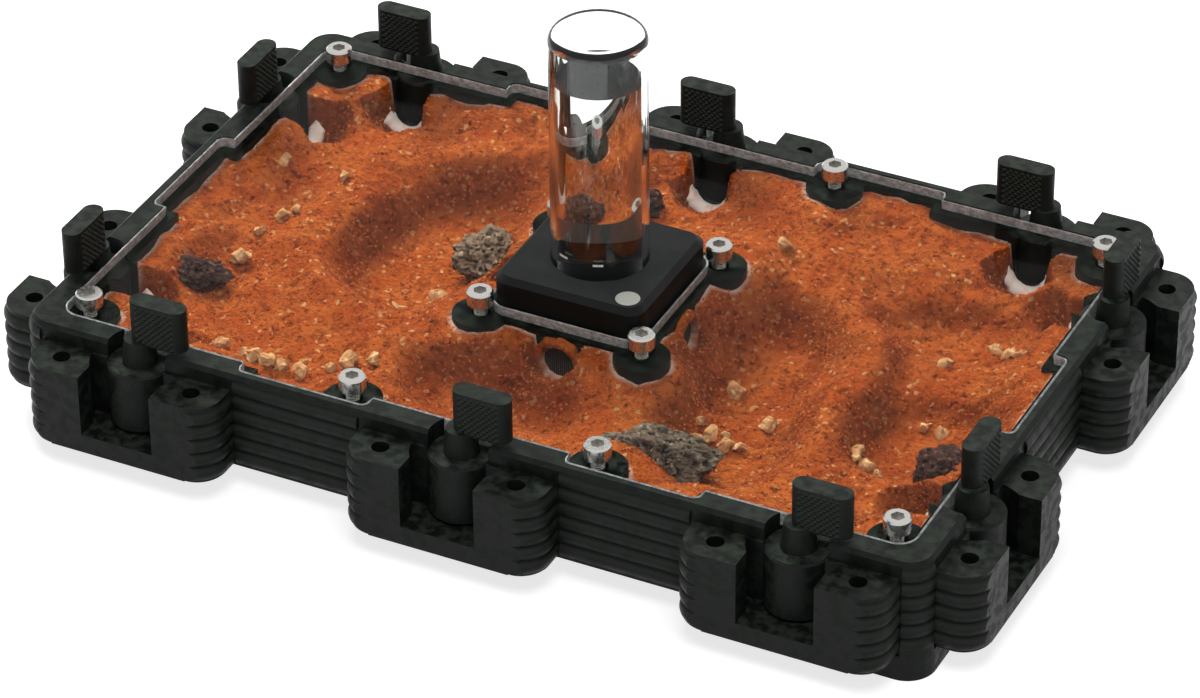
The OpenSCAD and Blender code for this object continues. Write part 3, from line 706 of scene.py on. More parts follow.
@dataclass(frozen=True)
class Clear(Finish):
    """Clear acrylic, glass or water.

    Attributes:
        name: The material's name.
        tint: Colour of the light that passes.
        ior: Refractive index.
        rough: Roughness.
        gloss: Strength of its reflection.
    """

    name: str
    tint: Colour = (0.985, 0.995, 0.99)
    ior: float = 1.49
    rough: float = 0.0
    gloss: float = 0.5

    def wire(self, w: Wiring, shader: bpy.types.Node, out: bpy.types.Node) -> None:
        """Wires a see-through body with faint smears. See Finish.wire."""
        place = w.place()
        shader.inputs["Base Color"].default_value = (*self.tint, 1)
        shader.inputs["Transmission Weight"].default_value = 1.0
        shader.inputs["IOR"].default_value = self.ior
        shader.inputs["Specular IOR Level"].default_value = self.gloss
        smear = w.ramp(w.noise(place, 60.0, 4), 0.45, 0.75, (self.rough, self.rough + 0.01))
        w.tree.links.new(smear, shader.inputs["Roughness"])
        self.let_light_through(w, shader, out, self.tint)


@dataclass(frozen=True)
class Frosted(Finish):
    """Sawn edge of the acrylic sheet, which gathers the light."""

    name: str = "sawn_edge"

    def wire(self, w: Wiring, shader: bpy.types.Node, out: bpy.types.Node) -> None:
        """Wires a bright matt edge with saw marks. See Finish.wire."""
        place = w.place()
        marks = w.noise(place, 800.0, 4, 0.7)
        base = w.mix(w.ramp(marks, 0.3, 0.7), (0.2, 0.21, 0.21), (0.6, 0.62, 0.62))
        w.tree.links.new(base, shader.inputs["Base Color"])
        shader.inputs["Roughness"].default_value = 0.4
        self.bump(w, shader, marks, 0.3, 0.0001)


@dataclass(frozen=True)
class SoftRubber(Finish):
    """Black rubber of the vial's seal."""

    name: str = "seal_rubber"

    def wire(self, w: Wiring, shader: bpy.types.Node, out: bpy.types.Node) -> None:
        """Wires matt rubber. See Finish.wire."""
        place = w.place()
        base = w.mix(w.noise(place, 900.0), srgb(22, 22, 22), srgb(38, 38, 37))
        w.tree.links.new(base, shader.inputs["Base Color"])
        shader.inputs["Roughness"].default_value = 0.7


PRINT = PrintedBlack()
GATE_PRINT = PrintedBlack("gate_print", srgb(16, 19, 17), srgb(44, 49, 43), 0.46, 0.6)
SAND = BoundSand()
STEEL = Metal("screw_steel", (0.56, 0.55, 0.52), 0.2)
BRASS = Metal("insert_brass", (0.2, 0.16, 0.1), 0.45)
WIRE = Metal("screen_wire", (0.4, 0.34, 0.26), 0.4)
# painted shade: a darker copy of the wire metal stands in for the shaded chamber seen through the screen
SCREEN_SHADE = Metal("screen_shade", (0.05, 0.042, 0.035), 0.6)
BRIGHT = Metal("disc_steel", (0.5, 0.49, 0.45), 0.42)
LOOSE = Stone("loose_grain", srgb(190, 92, 40), srgb(104, 42, 16), srgb(226, 150, 96), 900.0, 0.6)
DARK_LAVA = Stone("dark_lava", srgb(62, 40, 34), srgb(14, 8, 6), srgb(128, 92, 78), 620.0)
FRONT_LAVA = Stone("front_lava", srgb(102, 86, 72), srgb(16, 11, 8), srgb(166, 144, 122), 620.0)
GREY_LAVA = Stone("grey_lava", srgb(122, 100, 80), srgb(48, 34, 24), srgb(182, 158, 134), 560.0)
TAN_PEBBLE = Stone("tan_pebble", srgb(196, 146, 98), srgb(160, 104, 66), srgb(226, 190, 140), 300.0,
                   0.7)


# ---- Meshes ----


def link(name: str, data: bpy.types.ID) -> bpy.types.Object:
    """Makes an object and links it to the scene.

    Args:
        name: The object's name.
        data: Its mesh, camera or lamp.

    Returns:
        The object, at the origin.
    """
    made = bpy.data.objects.new(name, data)
    bpy.context.scene.collection.objects.link(made)
    return made


def finished(mesh: bpy.types.Mesh, finish: Finish, smooth: bool = True) -> bpy.types.Mesh:
    """Shades a mesh and gives it its finish.

    Args:
        mesh: The mesh.
        finish: Its finish.
        smooth: Whether its faces are shaded smooth.

    Returns:
        The mesh.
    """
    mesh.polygons.foreach_set("use_smooth", [smooth] * len(mesh.polygons))
    mesh.materials.append(finish.material())
    return mesh


def keep_value(mesh: bpy.types.Mesh, name: str, values: Sequence[float]) -> None:
    """Keeps a number for each of a mesh's points, for a material or a tree to read.

    Args:
        mesh: The mesh.
        name: The attribute's name.
        values: One number for each point.
    """
    mesh.attributes.new(name, "FLOAT", "POINT").data.foreach_set("value", values)


def mesh_object(name: str, vertices: Iterable[Sequence[float]], faces: Iterable[Sequence[int]],
                finish: Finish, smooth: bool = True) -> bpy.types.Object:
    """Makes an object at the origin from vertices in mm.

    Args:
        name: The object's name.
        vertices: The vertices, in mm.
        faces: The faces.
        finish: Its finish.
        smooth: Whether its faces are shaded smooth.

    Returns:
        The object, linked to the scene.
    """
    mesh = bpy.data.meshes.new(name)
    mesh.from_pydata([tuple(c * MM for c in v) for v in vertices], [], [tuple(f) for f in faces])
    return link(name, finished(mesh, finish, smooth))


def face_outwards(made: bpy.types.Object) -> None:
    """Turns a closed mesh's faces outwards.

    Args:
        made: The object.
    """
    work = bmesh.new()
    work.from_mesh(made.data)
    bmesh.ops.recalc_face_normals(work, faces=work.faces)
    work.to_mesh(made.data)
    work.free()


def dress(node: str, finish: Finish) -> None:
    """Gives a CAD node its finish.

    Args:
        node: The node's name.
        finish: Its finish.
    """
    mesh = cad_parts[node].data
    mesh.materials.clear()
    mesh.materials.append(finish.material())
    LOG.info("dressed %s in %s", node, finish.name)


def stand(made: bpy.types.Object, body: str, slot: str, *replaced: str) -> bpy.types.Object:
    """Makes a finished piece ride on its body.

    Args:
        made: The piece.
        body: The body's name.
        slot: The record's material slot, which is not used.
        *replaced: The CAD nodes that it stands for.

    Returns:
        The piece.
    """
    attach(made, body)
    if replaced:
        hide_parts(*replaced)
    LOG.info("piece %s on %s: %d faces", made.name, body, len(made.data.polygons))
    return made


class Recipe:
    """A Geometry Nodes tree with named inputs, run on a mesh and then applied."""

    def __init__(self, name: str, inputs: dict[str, tuple[str, object]]) -> None:
        """Starts the tree.

        Args:
            name: The tree's name.
            inputs: Input name to its socket type and its value.
        """
        self.tree = bpy.data.node_groups.new(name, "GeometryNodeTree")
        self.tree.interface.new_socket("Geometry", in_out="INPUT", socket_type="NodeSocketGeometry")
        self.values = {}
        for label, (kind, value) in inputs.items():
            socket = self.tree.interface.new_socket(label, in_out="INPUT", socket_type=kind)
            self.values[socket.identifier] = value
        self.tree.interface.new_socket("Geometry", in_out="OUTPUT", socket_type="NodeSocketGeometry")
        self.w = Wiring(self.tree)
        self.ins = self.w.add("NodeGroupInput").outputs

    def finish(self, geometry: bpy.types.NodeSocket, finish: Finish) -> None:
        """Ends the tree in real geometry with a material.

        Args:
            geometry: What the tree has made.
            finish: Its finish.
        """
        real = self.w.add("GeometryNodeRealizeInstances", {0: geometry})
        ins = {"Geometry": real.outputs[0], "Material": finish.material()}
        self.w.add("NodeGroupOutput", {0: self.w.add("GeometryNodeSetMaterial", ins).outputs[0]})

    def run(self, made: bpy.types.Object) -> bpy.types.Object:
        """Runs the tree on an object and keeps the result as a plain mesh.

        Args:
            made: The object, whose mesh is the tree's input.

        Returns:
            The object.
        """
        modifier = made.modifiers.new("recipe", "NODES")
        modifier.node_group = self.tree
        for identifier, value in self.values.items():
            modifier[identifier] = value
        graph = bpy.context.evaluated_depsgraph_get()
        mesh = bpy.data.meshes.new_from_object(made.evaluated_get(graph))
        made.modifiers.clear()
        made.data = mesh
        return made


# ---- Sand, plaster and stones ----


@dataclass(frozen=True)
class Swell:
    """A mound or a hollow of the sand, in mm.

    Attributes:
        x: Its middle.
        y: Its middle.
        rise: Its height, negative for a hollow.
        along: Its reach along its axis.
        across: Its reach across its axis.
        turn: Its axis, in degrees from +X.
        edge: How steep its sides are.
    """

    x: float
    y: float
    rise: float
    along: float
    across: float
    turn: float
    edge: float

    def at(self, x: np.ndarray, y: np.ndarray) -> np.ndarray:
        """Finds its height at points.

        Args:
            x: The points' x, in mm.
            y: The points' y, in mm.

        Returns:
            The heights, in mm.
        """
        turn = math.radians(self.turn)
        dx, dy = x - self.x, y - self.y
        u = (dx * math.cos(turn) + dy * math.sin(turn)) / self.along
        v = (dy * math.cos(turn) - dx * math.sin(turn)) / self.across
        return self.rise * np.exp(-((u * u + v * v) ** self.edge))


RELIEF = (
    Swell(-43, 11, -7.6, 26, 16, 80, 3),
    Swell(-48, 40, 3.4, 19, 6.5, 22, 1),
    Swell(-67, 12, 2.8, 24, 7, 84, 1),
    Swell(-48, -19, 3.0, 20, 6, -32, 1),
    Swell(-74, -26, -2.0, 15, 8, 120, 1),
    Swell(-8, -36, -5.0, 20, 11, 0, 3),
    Swell(-20, -26, -2.0, 8, 7, 0, 1),
    Swell(31, 2, -6.6, 19, 15, 60, 3),
    Swell(40, -22, -4.8, 24, 13, 100, 3),
    Swell(59, -9, 4.2, 25, 6, 96, 1.5),
    Swell(50, 17, 4.0, 14, 6, 138, 1.5),
    Swell(34, 36, 3.0, 24, 9, 10, 1),
    Swell(62, 43, 2.0, 20, 6, 10, 1),
    Swell(68, 24, -3.6, 20, 10, 12, 3),
    Swell(79, -12, -5.0, 18, 15, 10, 3),
)


NOISE_REACH = 260
NOISE_START = 125


def lattice_noise(x: np.ndarray, y: np.ndarray, cell: float, seed: int) -> np.ndarray:
    """Makes smooth noise over the habitat.

    Args:
        x: The points' x, in mm.
        y: The points' y, in mm.
        cell: Size of its lumps, in mm.
        seed: Seed of its lattice.

    Returns:
        The noise, -1 to 1.
    """
    size = int(NOISE_REACH / cell) + 4
    table = np.random.default_rng(seed).uniform(-1, 1, (size, size))
    gx, gy = (x + NOISE_START) / cell, (y + NOISE_START) / cell
    ix, iy = np.floor(gx).astype(int), np.floor(gy).astype(int)
    fx, fy = gx - ix, gy - iy
    fx, fy = fx * fx * (3 - 2 * fx), fy * fy * (3 - 2 * fy)
    low = table[iy, ix] * (1 - fx) + table[iy, ix + 1] * fx
    high = table[iy + 1, ix] * (1 - fx) + table[iy + 1, ix + 1] * fx
    return low * (1 - fy) + high * fy


@dataclass
class SandRelief:
    """The sand: a fine relief that climbs the walls and the pedestal.

    Attributes:
        step: Distance between the relief's points, in mm.
        level: Mean height above the plaster, in mm.
        berm: How high it climbs the walls, turrets and bosses, in mm.
        berm_reach: How far from them it climbs, in mm.
        edge_z: Height of its edge against them, in mm.
        cap: Its highest place, under the lid, in mm.
        least: Its least height above the plaster, in mm.
        lap: How far it reaches into the walls, in mm.
        notch: Half the width of the notch in front of each port, in mm.
        port_drop: How far the notch's floor lies under the port's middle, in mm.
        port_face: Where the notch's floor starts to rise, inwards from the station, in mm.
        slot: Half the width of the notch in front of each window, in mm.
        window_drop: How far that notch's floor lies under the window's middle, in mm.
        flank: How steep the notches' sides are.
        hollow_reach: How far round a point a hollow is looked for, in steps, for the painted shade.
        lumps: Size, height and seed of its lumps, in mm.
        made: The relief's object, once it is built.
    """

    step: float = 0.5
    level: float = 8.2
    berm: float = 5.6
    berm_reach: float = 8.5
    edge_z: float = 21.9
    cap: float = 23.6
    least: float = 2.2
    lap: float = 0.55
    notch: float = 3.7
    port_drop: float = 4.4
    port_face: float = 21.5
    slot: float = 4.2
    window_drop: float = 4.6
    flank: float = 6.0
    hollow_reach: int = 9
    lumps: tuple = ((11.0, 0.7, 1), (4.6, 0.42, 2), (2.3, 0.3, 3), (1.15, 0.2, 4))
    made: bpy.types.Object | None = field(default=None, repr=False)

    def channel(self, x: np.ndarray, y: np.ndarray) -> np.ndarray:
        """Finds how high the sand may be in front of the ports and windows.

        Args:
            x: The points' x, in mm.
            y: The points' y, in mm.

        Returns:
            The heights, in mm.
        """
        top = np.full(x.shape, 99.0)
        for station in PLAN.stations():
            s, d = station.local(x, y)
            side = np.abs(s) + 0.35 * lattice_noise(x, y, 2.6, 31)
            spread = np.maximum(0, d - self.port_face)
            bank = np.maximum(0, side - self.notch - 0.9 * spread) * self.flank
            floor = PLAN.port_z - self.port_drop + 0.1 * side**2 + bank
            top = np.where((d > 12) & (d < 40), np.minimum(top, floor + spread * 0.62), top)
        for turn in range(4):
            cos, sin = math.cos(turn * math.pi / 2), math.sin(turn * math.pi / 2)
            u = x * cos + y * sin
            v = np.abs(y * cos - x * sin)
            spread = np.maximum(0, u - PLAN.pedestal_half - 1.6)
            bank = np.maximum(0, v - self.slot - 0.5 * spread) * self.flank
            floor = PLAN.window_z - self.window_drop + 0.12 * v**2 + bank
            top = np.where((u > 15) & (u < 40), np.minimum(top, floor + spread * 0.9), top)
        return top

    def height(self, x: np.ndarray, y: np.ndarray, rough: bool = True) -> np.ndarray:
        """Finds the sand's height.

        Args:
            x: The points' x, in mm.
            y: The points' y, in mm.
            rough: Whether its lumps and grains are added.

        Returns:
            The heights, in mm.
        """
        raw = np.full(x.shape, PLAN.bed_top + self.level)
        for swell in RELIEF:
            raw = raw + swell.at(x, y)
        gap = np.maximum(0, -PLAN.solid_depth(x, y))
        wave = 1.1 * lattice_noise(x, y, 13, 7) + 0.8 * lattice_noise(x, y, 5, 8)
        near = np.exp(-((gap / self.berm_reach) ** 2))
        raw = raw + (self.berm + wave) * near
        raw = raw + (self.edge_z + wave - raw) * 0.65 * near**3
        half = PLAN.pedestal_half
        off = np.hypot(np.maximum(0, np.abs(x) - half), np.maximum(0, np.abs(y) - half))
        raw = raw + (self.cap - 0.4 + 0.4 * wave - raw) * 0.8 * np.exp(-((off / 3.6) ** 2))
        raw = np.minimum(raw, self.channel(x, y))
        if rough:
            for cell, rise, seed in self.lumps:
                raw = raw + rise * lattice_noise(x, y, cell, seed)
            raw = raw + 0.05 * lattice_noise(x, y, 0.53, 5)
        over = raw - (self.cap - 1.0)
        raw = np.where(over > 0, self.cap - 1.0 + np.tanh(over), raw)
        low = PLAN.bed_top + self.least - raw
        return np.where(low > 0, PLAN.bed_top + self.least - np.tanh(low), raw)

    def z_at(self, x: float, y: float) -> float:
        """Finds the smooth height at one point.

        Args:
            x: The point's x, in mm.
            y: The point's y, in mm.

        Returns:
            The height, in mm.
        """
        return float(self.height(np.array([x]), np.array([y]), rough=False)[0])

    def build(self) -> bpy.types.Object:
        """Makes the sand and returns it."""
        margin = PLAN.cavity_step + 0.6
        x_end, y_end = PLAN.cavity_x + margin, PLAN.cavity_y + margin
        xs = np.arange(-x_end, x_end + self.step, self.step)
        ys = np.arange(-y_end, y_end + self.step, self.step)
        x, y = np.meshgrid(xs, ys)
        z = self.height(x, y)
        deep = PLAN.solid_depth(x, y)
        keep = deep < self.lap
        rows, cols = np.nonzero(keep[:-1, :-1] & keep[1:, :-1] & keep[:-1, 1:] & keep[1:, 1:])
        wide = x.shape[1]
        first = rows * wide + cols
        quads = np.stack([first, first + 1, first + wide + 1, first + wide], axis=1)
        used, quads = np.unique(quads, return_inverse=True)
        px, py, pz = x.ravel()[used], y.ravel()[used], z.ravel()[used]
        made = mesh_object(
            "sand_relief", np.stack([px, py, pz], axis=1).tolist(), quads.reshape(-1, 4).tolist(), SAND
        )
        edge = 1 - np.clip((-deep.ravel()[used] - 0.2) / 0.8, 0, 1)
        high = np.clip((pz - 17.5) / 2.5, 0, 1)
        spotty = np.clip(0.75 + 0.9 * lattice_noise(px, py, 3.1, 11), 0, 1)
        keep_value(made.data, "pale", (0.9 * edge * high * spotty).astype(np.float32))
        # painted shade: steep slopes and hollows, darkened in the sand's colour
        keep_value(made.data, "painted_shade", self.relief_shade(x, y).ravel()[used].astype(np.float32))
        self.skirt(made)
        self.made = made
        return stand(made, TRAY_BODY, "sand", "sand_west", "sand_middle", "sand_east")

    def relief_shade(self, x: np.ndarray, y: np.ndarray) -> np.ndarray:
        """Finds the relief's painted shade: steep and hollow places get darker.

        Args:
            x: The points' x, in mm.
            y: The points' y, in mm.

        Returns:
            The painted shade, 0 to 1.
        """
        smooth = self.height(x, y, rough=False)
        down_y, down_x = np.gradient(smooth, self.step)
        steep = np.clip((np.hypot(down_x, down_y) - 0.35) / 0.75, 0, 1)
        reach = self.hollow_reach
        ways = [(dy * reach, dx * reach) for dx in (-1, 0, 1) for dy in (-1, 0, 1)]
        around = sum(np.roll(smooth, way, (0, 1)) for way in ways) / len(ways)
        hollow = np.clip((around - smooth) / 1.6, 0, 1)
        return np.clip(0.75 * steep + 0.5 * hollow + 0.12 * lattice_noise(x, y, 6.0, 21), 0, 1)

    @staticmethod
    def skirt(made: bpy.types.Object) -> None:
        """Closes the sand's sides down to the plaster.

        Args:
            made: The sand's object.
        """
        work = bmesh.new()
        work.from_mesh(made.data)
        rim = [e for e in work.edges if e.is_boundary]
        grown = bmesh.ops.extrude_edge_only(work, edges=rim)["geom"]
        for vertex in (g for g in grown if isinstance(g, bmesh.types.BMVert)):
            vertex.co.z = (PLAN.bed_top + 0.05) * MM
        work.to_mesh(made.data)
        work.free()

    def scatter(self) -> bpy.types.Object:
        """Strews loose grains over the sand and returns them."""
        recipe = Recipe("LooseGrains", {
            "Density": ("NodeSocketFloat", 620000.0),
            "Size": ("NodeSocketFloat", 0.00034),
            "Least Upward": ("NodeSocketFloat", 0.35),
            "Seed": ("NodeSocketInt", 5),
        })
        w, ins = recipe.w, recipe.ins
        normal = w.add("GeometryNodeInputNormal").outputs[0]
        facing = w.add("ShaderNodeSeparateXYZ", {0: normal}).outputs["Z"]
        up = w.add("FunctionNodeCompare", {0: facing, 1: ins["Least Upward"]}, data_type="FLOAT",
                   operation="GREATER_THAN")
        spots = w.add("GeometryNodeDistributePointsOnFaces", {
            "Mesh": ins["Geometry"], "Selection": up.outputs[0], "Density": ins["Density"],
            "Seed": ins["Seed"]})
        grain = w.add("GeometryNodeMeshIcoSphere", {"Radius": ins["Size"], "Subdivisions": 1})
        size = w.add("FunctionNodeRandomValue", {0: (0.4, 0.4, 0.3), 1: (1.2, 1.2, 1.0)},
                     data_type="FLOAT_VECTOR")
        turn = w.add("FunctionNodeRandomValue", {0: (0.0, 0.0, 0.0), 1: (6.28, 6.28, 6.28)},
                     data_type="FLOAT_VECTOR")
        strewn = w.add("GeometryNodeInstanceOnPoints", {
            "Points": spots.outputs["Points"], "Instance": grain.outputs["Mesh"],
            "Rotation": turn.outputs[0], "Scale": size.outputs[0]})
        recipe.finish(strewn.outputs[0], LOOSE)
        source = link("sand_loose_grains", self.made.data.copy())
        return stand(recipe.run(source), TRAY_BODY, "sand")


@dataclass
class LavaRock:
    """A porous lava rock on the place of its CAD node.

    Attributes:
        node: The CAD node.
        finish: Its finish.
        slot: Its material slot.
        pores: Scale of its pores, per mm.
        seed: Shifts its noise.
        grow: How much larger than the node's box it is, along each axis.
        shift: How far it is moved, in mm.
        detail: Subdivisions of its ball.
        lump: Height of its large lumps, as a share of its radius.
        knob: Height of its small lumps.
        grit: Height of its roughness.
        pit: Depth of its large pores.
        prick: Depth of its small pores.
        headroom: Least space between it and the lid, in mm.
    """

    node: str
    finish: Stone
    slot: str
    pores: float
    seed: float
    grow: tuple[float, float, float] = (1.0, 1.0, 1.0)
    shift: tuple[float, float, float] = (0.0, 0.0, 0.0)
    detail: int = 6
    lump: float = 0.3
    knob: float = 0.18
    grit: float = 0.06
    pit: float = 0.26
    prick: float = 0.16
    headroom: float = 0.4

    def build(self) -> bpy.types.Object:
        """Makes the rock and returns it."""
        low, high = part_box(self.node)
        middle = [(low[i] + high[i]) / 2 + self.shift[i] * MM for i in range(3)]
        half = [(high[i] - low[i]) / 2 * self.grow[i] for i in range(3)]
        work = bmesh.new()
        bmesh.ops.create_icosphere(work, subdivisions=self.detail, radius=1.0)
        holes = self.carve(work, Vector([h / MM for h in half]))
        reach = [max(abs(v.co[i]) for v in work.verts) for i in range(3)]
        ceiling = (PLAN.ledge_z - self.headroom) * MM
        for vertex in work.verts:
            place = [middle[i] + vertex.co[i] / reach[i] * half[i] * 0.995 for i in range(3)]
            vertex.co = (place[0], place[1], min(place[2], ceiling))
        mesh = bpy.data.meshes.new(f"{self.node}_rough")
        work.to_mesh(mesh)
        work.free()
        # each point's depth in a pore, which the stone's material paints as shade
        keep_value(mesh, "hole", holes)
        return stand(link(mesh.name, finished(mesh, self.finish)), TRAY_BODY, self.slot, self.node)

    def carve(self, work: bmesh.types.BMesh, size: Vector) -> list[float]:
        """Carves lumps and pores into a ball of radius 1.

        Args:
            work: The ball.
            size: Half the rock's size along each axis, in mm.

        Returns:
            How deep each of its points lies in a pore, 0 to 1, which the material darkens as painted
            shade.
        """
        shift = Vector((self.seed * 7.3, self.seed * 3.1, self.seed))
        holes = []
        for vertex in work.verts:
            ray = vertex.co.normalized()
            spot = Vector((ray.x * size.x, ray.y * size.y, ray.z * size.z))
            lump = self.lump * noise.noise(ray * 1.4 + shift)
            lump += self.knob * noise.noise(ray * 3.1 + shift)
            near = noise.voronoi(spot * self.pores + shift)[0][0]
            fine = noise.voronoi(spot * self.pores * 1.9 + shift * 2)[0][0]
            pit = self.pit * max(0.0, 0.5 - near) / 0.5 + self.prick * max(0.0, 0.45 - fine) / 0.45
            holes.append(min(1.0, max(0.0, (0.46 - near) / 0.14, (0.34 - fine) / 0.12)))
            vertex.co = ray * (0.92 + lump - pit + self.grit * noise.noise(spot * 1.6 + shift))
        return holes


DARK_SLOT = "lava_dark"
ROCKS = (
    LavaRock("lava_rock_left", DARK_LAVA, DARK_SLOT, 0.62, 1.0, (1.22, 0.95, 0.9), (-0.8, -2.2, 0.0)),
    LavaRock("lava_rock_grey", GREY_LAVA, "lava_grey", 0.7, 2.0, (1.3, 1.3, 1.3), (-0.5, 0.3, 0.6)),
    LavaRock("lava_rock_front", FRONT_LAVA, DARK_SLOT, 0.55, 3.0, (1.22, 1.3, 1.4), (-1.6, 0.4, 1.0)),
    LavaRock("lava_rock_right", DARK_LAVA, DARK_SLOT, 0.62, 4.0, (1.25, 1.25, 1.3), (2.0, 1.2, 0.6)),
    LavaRock("lava_rock_back", DARK_LAVA, DARK_SLOT, 0.62, 5.0),
)


@dataclass
class Pebbles:
    """Tan pebbles lying in the sand.

    Attributes:
        bedded: How far a pebble's middle lies above the sand, as a share of its size.
        places: Each pebble's x, y and size, in mm.
    """

    bedded: float = 0.22
    places: tuple[tuple[float, float, float], ...] = (
        (-83.5, 19, 3.2), (-70, 20, 2.4), (-75, 2, 3.0), (-73, 5, 2.0), (-76.5, -5, 2.6), (-76, -14, 4.6),
        (-62, -46, 4.0), (-52.5, -50, 4.2), (-49, -50.5, 4.0), (-46, -50, 3.4), (-43, -49, 2.8),
        (-55, -49, 2.4), (-44, -46, 2.6), (-37, -39, 4.2), (-33, -36, 3.4), (-39, -43, 3.0),
        (-40, -12, 2.4), (-37, -1, 4.0), (33, -5, 4.0), (45, -16, 3.6), (33, -22, 2.6), (36, -24, 3.4),
        (39, -23, 2.6), (40, -26, 3.2), (43, -25, 2.4), (34, -26, 2.2), (26, 33, 3.4), (70, 14, 4.0),
        (76, 26, 3.4), (79, 25, 3.2), (82, 23, 3.0), (73, -3, 3.2), (77, -4, 3.4), (66, -21, 3.8),
        (69, -22, 3.4), (72, -24, 2.6),
    )

    def build(self, sand: SandRelief) -> bpy.types.Object:
        """Lays the pebbles.

        Args:
            sand: The sand that they lie in.

        Returns:
            The pebbles.
        """
        points = [(x, y, sand.z_at(x, y) + self.bedded * size) for x, y, size in self.places]
        made = mesh_object("pebble_stones", points, [], TAN_PEBBLE)
        keep_value(made.data, "size", [size * MM / 2 for _, _, size in self.places])
        recipe = Recipe("PebbleScatter", {
            "Seed": ("NodeSocketInt", 3),
            "Lump Scale": ("NodeSocketFloat", 420.0),
            "Lump Height": ("NodeSocketFloat", 0.0035),
        })
        w, ins = recipe.w, recipe.ins
        ball = w.add("GeometryNodeMeshIcoSphere", {"Radius": 1.0, "Subdivisions": 3})
        size = w.add("GeometryNodeInputNamedAttribute", {"Name": "size"}, data_type="FLOAT")
        stretch = w.add("FunctionNodeRandomValue", {
            0: (0.85, 0.65, 0.55), 1: (1.25, 0.95, 0.8), "Seed": ins["Seed"]}, data_type="FLOAT_VECTOR")
        scale = w.add("ShaderNodeVectorMath", {
            0: stretch.outputs[0], "Scale": size.outputs["Attribute"]}, operation="SCALE")
        turn = w.add("FunctionNodeRandomValue", {
            0: (-0.4, -0.4, 0.0), 1: (0.4, 0.4, 6.28), "Seed": ins["Seed"]}, data_type="FLOAT_VECTOR")
        laid = w.add("GeometryNodeInstanceOnPoints", {
            "Points": ins["Geometry"], "Instance": ball.outputs["Mesh"], "Rotation": turn.outputs[0],
            "Scale": scale.outputs[0]})
        real = w.add("GeometryNodeRealizeInstances", {0: laid.outputs[0]})
        place = w.add("GeometryNodeInputPosition").outputs[0]
        lump = w.add("ShaderNodeTexNoise", {"Vector": place, "Scale": ins["Lump Scale"], "Detail": 2.0})
        centred = w.add("ShaderNodeVectorMath", {
            0: lump.outputs["Color"], 1: (0.5, 0.5, 0.5)}, operation="SUBTRACT")
        push = w.add("ShaderNodeVectorMath", {
            0: centred.outputs[0], "Scale": ins["Lump Height"]}, operation="SCALE")
        moved = w.add("GeometryNodeSetPosition", {
            "Geometry": real.outputs[0], "Offset": push.outputs[0]})
        recipe.finish(moved.outputs[0], TAN_PEBBLE)
        return stand(recipe.run(made), TRAY_BODY, "pebble_tan", "pebbles")


@dataclass
class WindowCollars:
    """Rings of compacted sand round the pedestal's windows, pale along their inner edge.

    Attributes:
        radius: Radius of the window's opening, in mm.
        width: Width of the ring, in mm.
        reach: How far the ring stands off the pedestal, in mm.
        lap: How far the ring's back lies in the pedestal, in mm.
        grit: Height of its roughness, in mm.
        around: Points round the ring.
        section: Points round the ring's section.
    """

    radius: float = 3.3
    width: float = 2.5
    reach: float = 2.3
    lap: float = 0.4
    grit: float = 0.16
    around: int = 56
    section: int = 14

    def build(self) -> bpy.types.Object:
        """Makes the four rings and returns them."""
        vertices: list[Sequence[float]] = []
        faces: list[Sequence[int]] = []
        pale: list[float] = []
        for turn in range(4):
            self.ring(turn, vertices, faces, pale)
        made = mesh_object("window_collars", vertices, faces, SAND)
        keep_value(made.data, "pale", pale)
        face_outwards(made)
        return stand(made, TRAY_BODY, "sand")

    def ring(self, turn: int, vertices: list, faces: list, pale: list) -> None:
        """Adds the ring of one window.

        Args:
            turn: The window's side, in quarter turns from the front.
            vertices: The piece's vertices, added to.
            faces: The piece's faces, added to.
            pale: How pale each vertex is, added to.
        """
        spin = Matrix.Rotation(turn * math.pi / 2, 4, "Z")
        start, section = len(vertices), self.section
        for i in range(self.around):
            a = 2 * math.pi * i / self.around
            wave = noise.noise(Vector((3 * math.cos(a), 3 * math.sin(a), turn * 4.0)))
            low = max(0.0, -math.sin(a))
            wide = self.width * (0.5 + 0.12 * wave) * (1 + 0.25 * low)
            for k in range(section):
                b = 2 * math.pi * k / section
                grit = self.grit * noise.noise(Vector((i * 0.9, k * 1.1, turn * 9.0)))
                r = self.radius + wide - wide * math.cos(b) + grit + 0.25 * wave
                out = self.reach * (0.86 + 0.25 * wave) * math.sin(b) + grit
                z = min(PLAN.window_z + r * math.sin(a), PLAN.ledge_z - 0.25)
                y = -PLAN.pedestal_half + self.lap - out
                vertices.append(tuple(spin @ Vector((r * math.cos(a), y, z))))
                inner = max(0.0, math.cos(b)) ** 2
                pale.append(0.95 * inner * min(1.0, 0.35 + 0.65 * low + 0.5 * wave))
        for i in range(self.around):
            here, there = start + i * section, start + (i + 1) % self.around * section
            for k in range(section):
                after = (k + 1) % section
                faces.append((here + k, here + after, there + after, there + k))


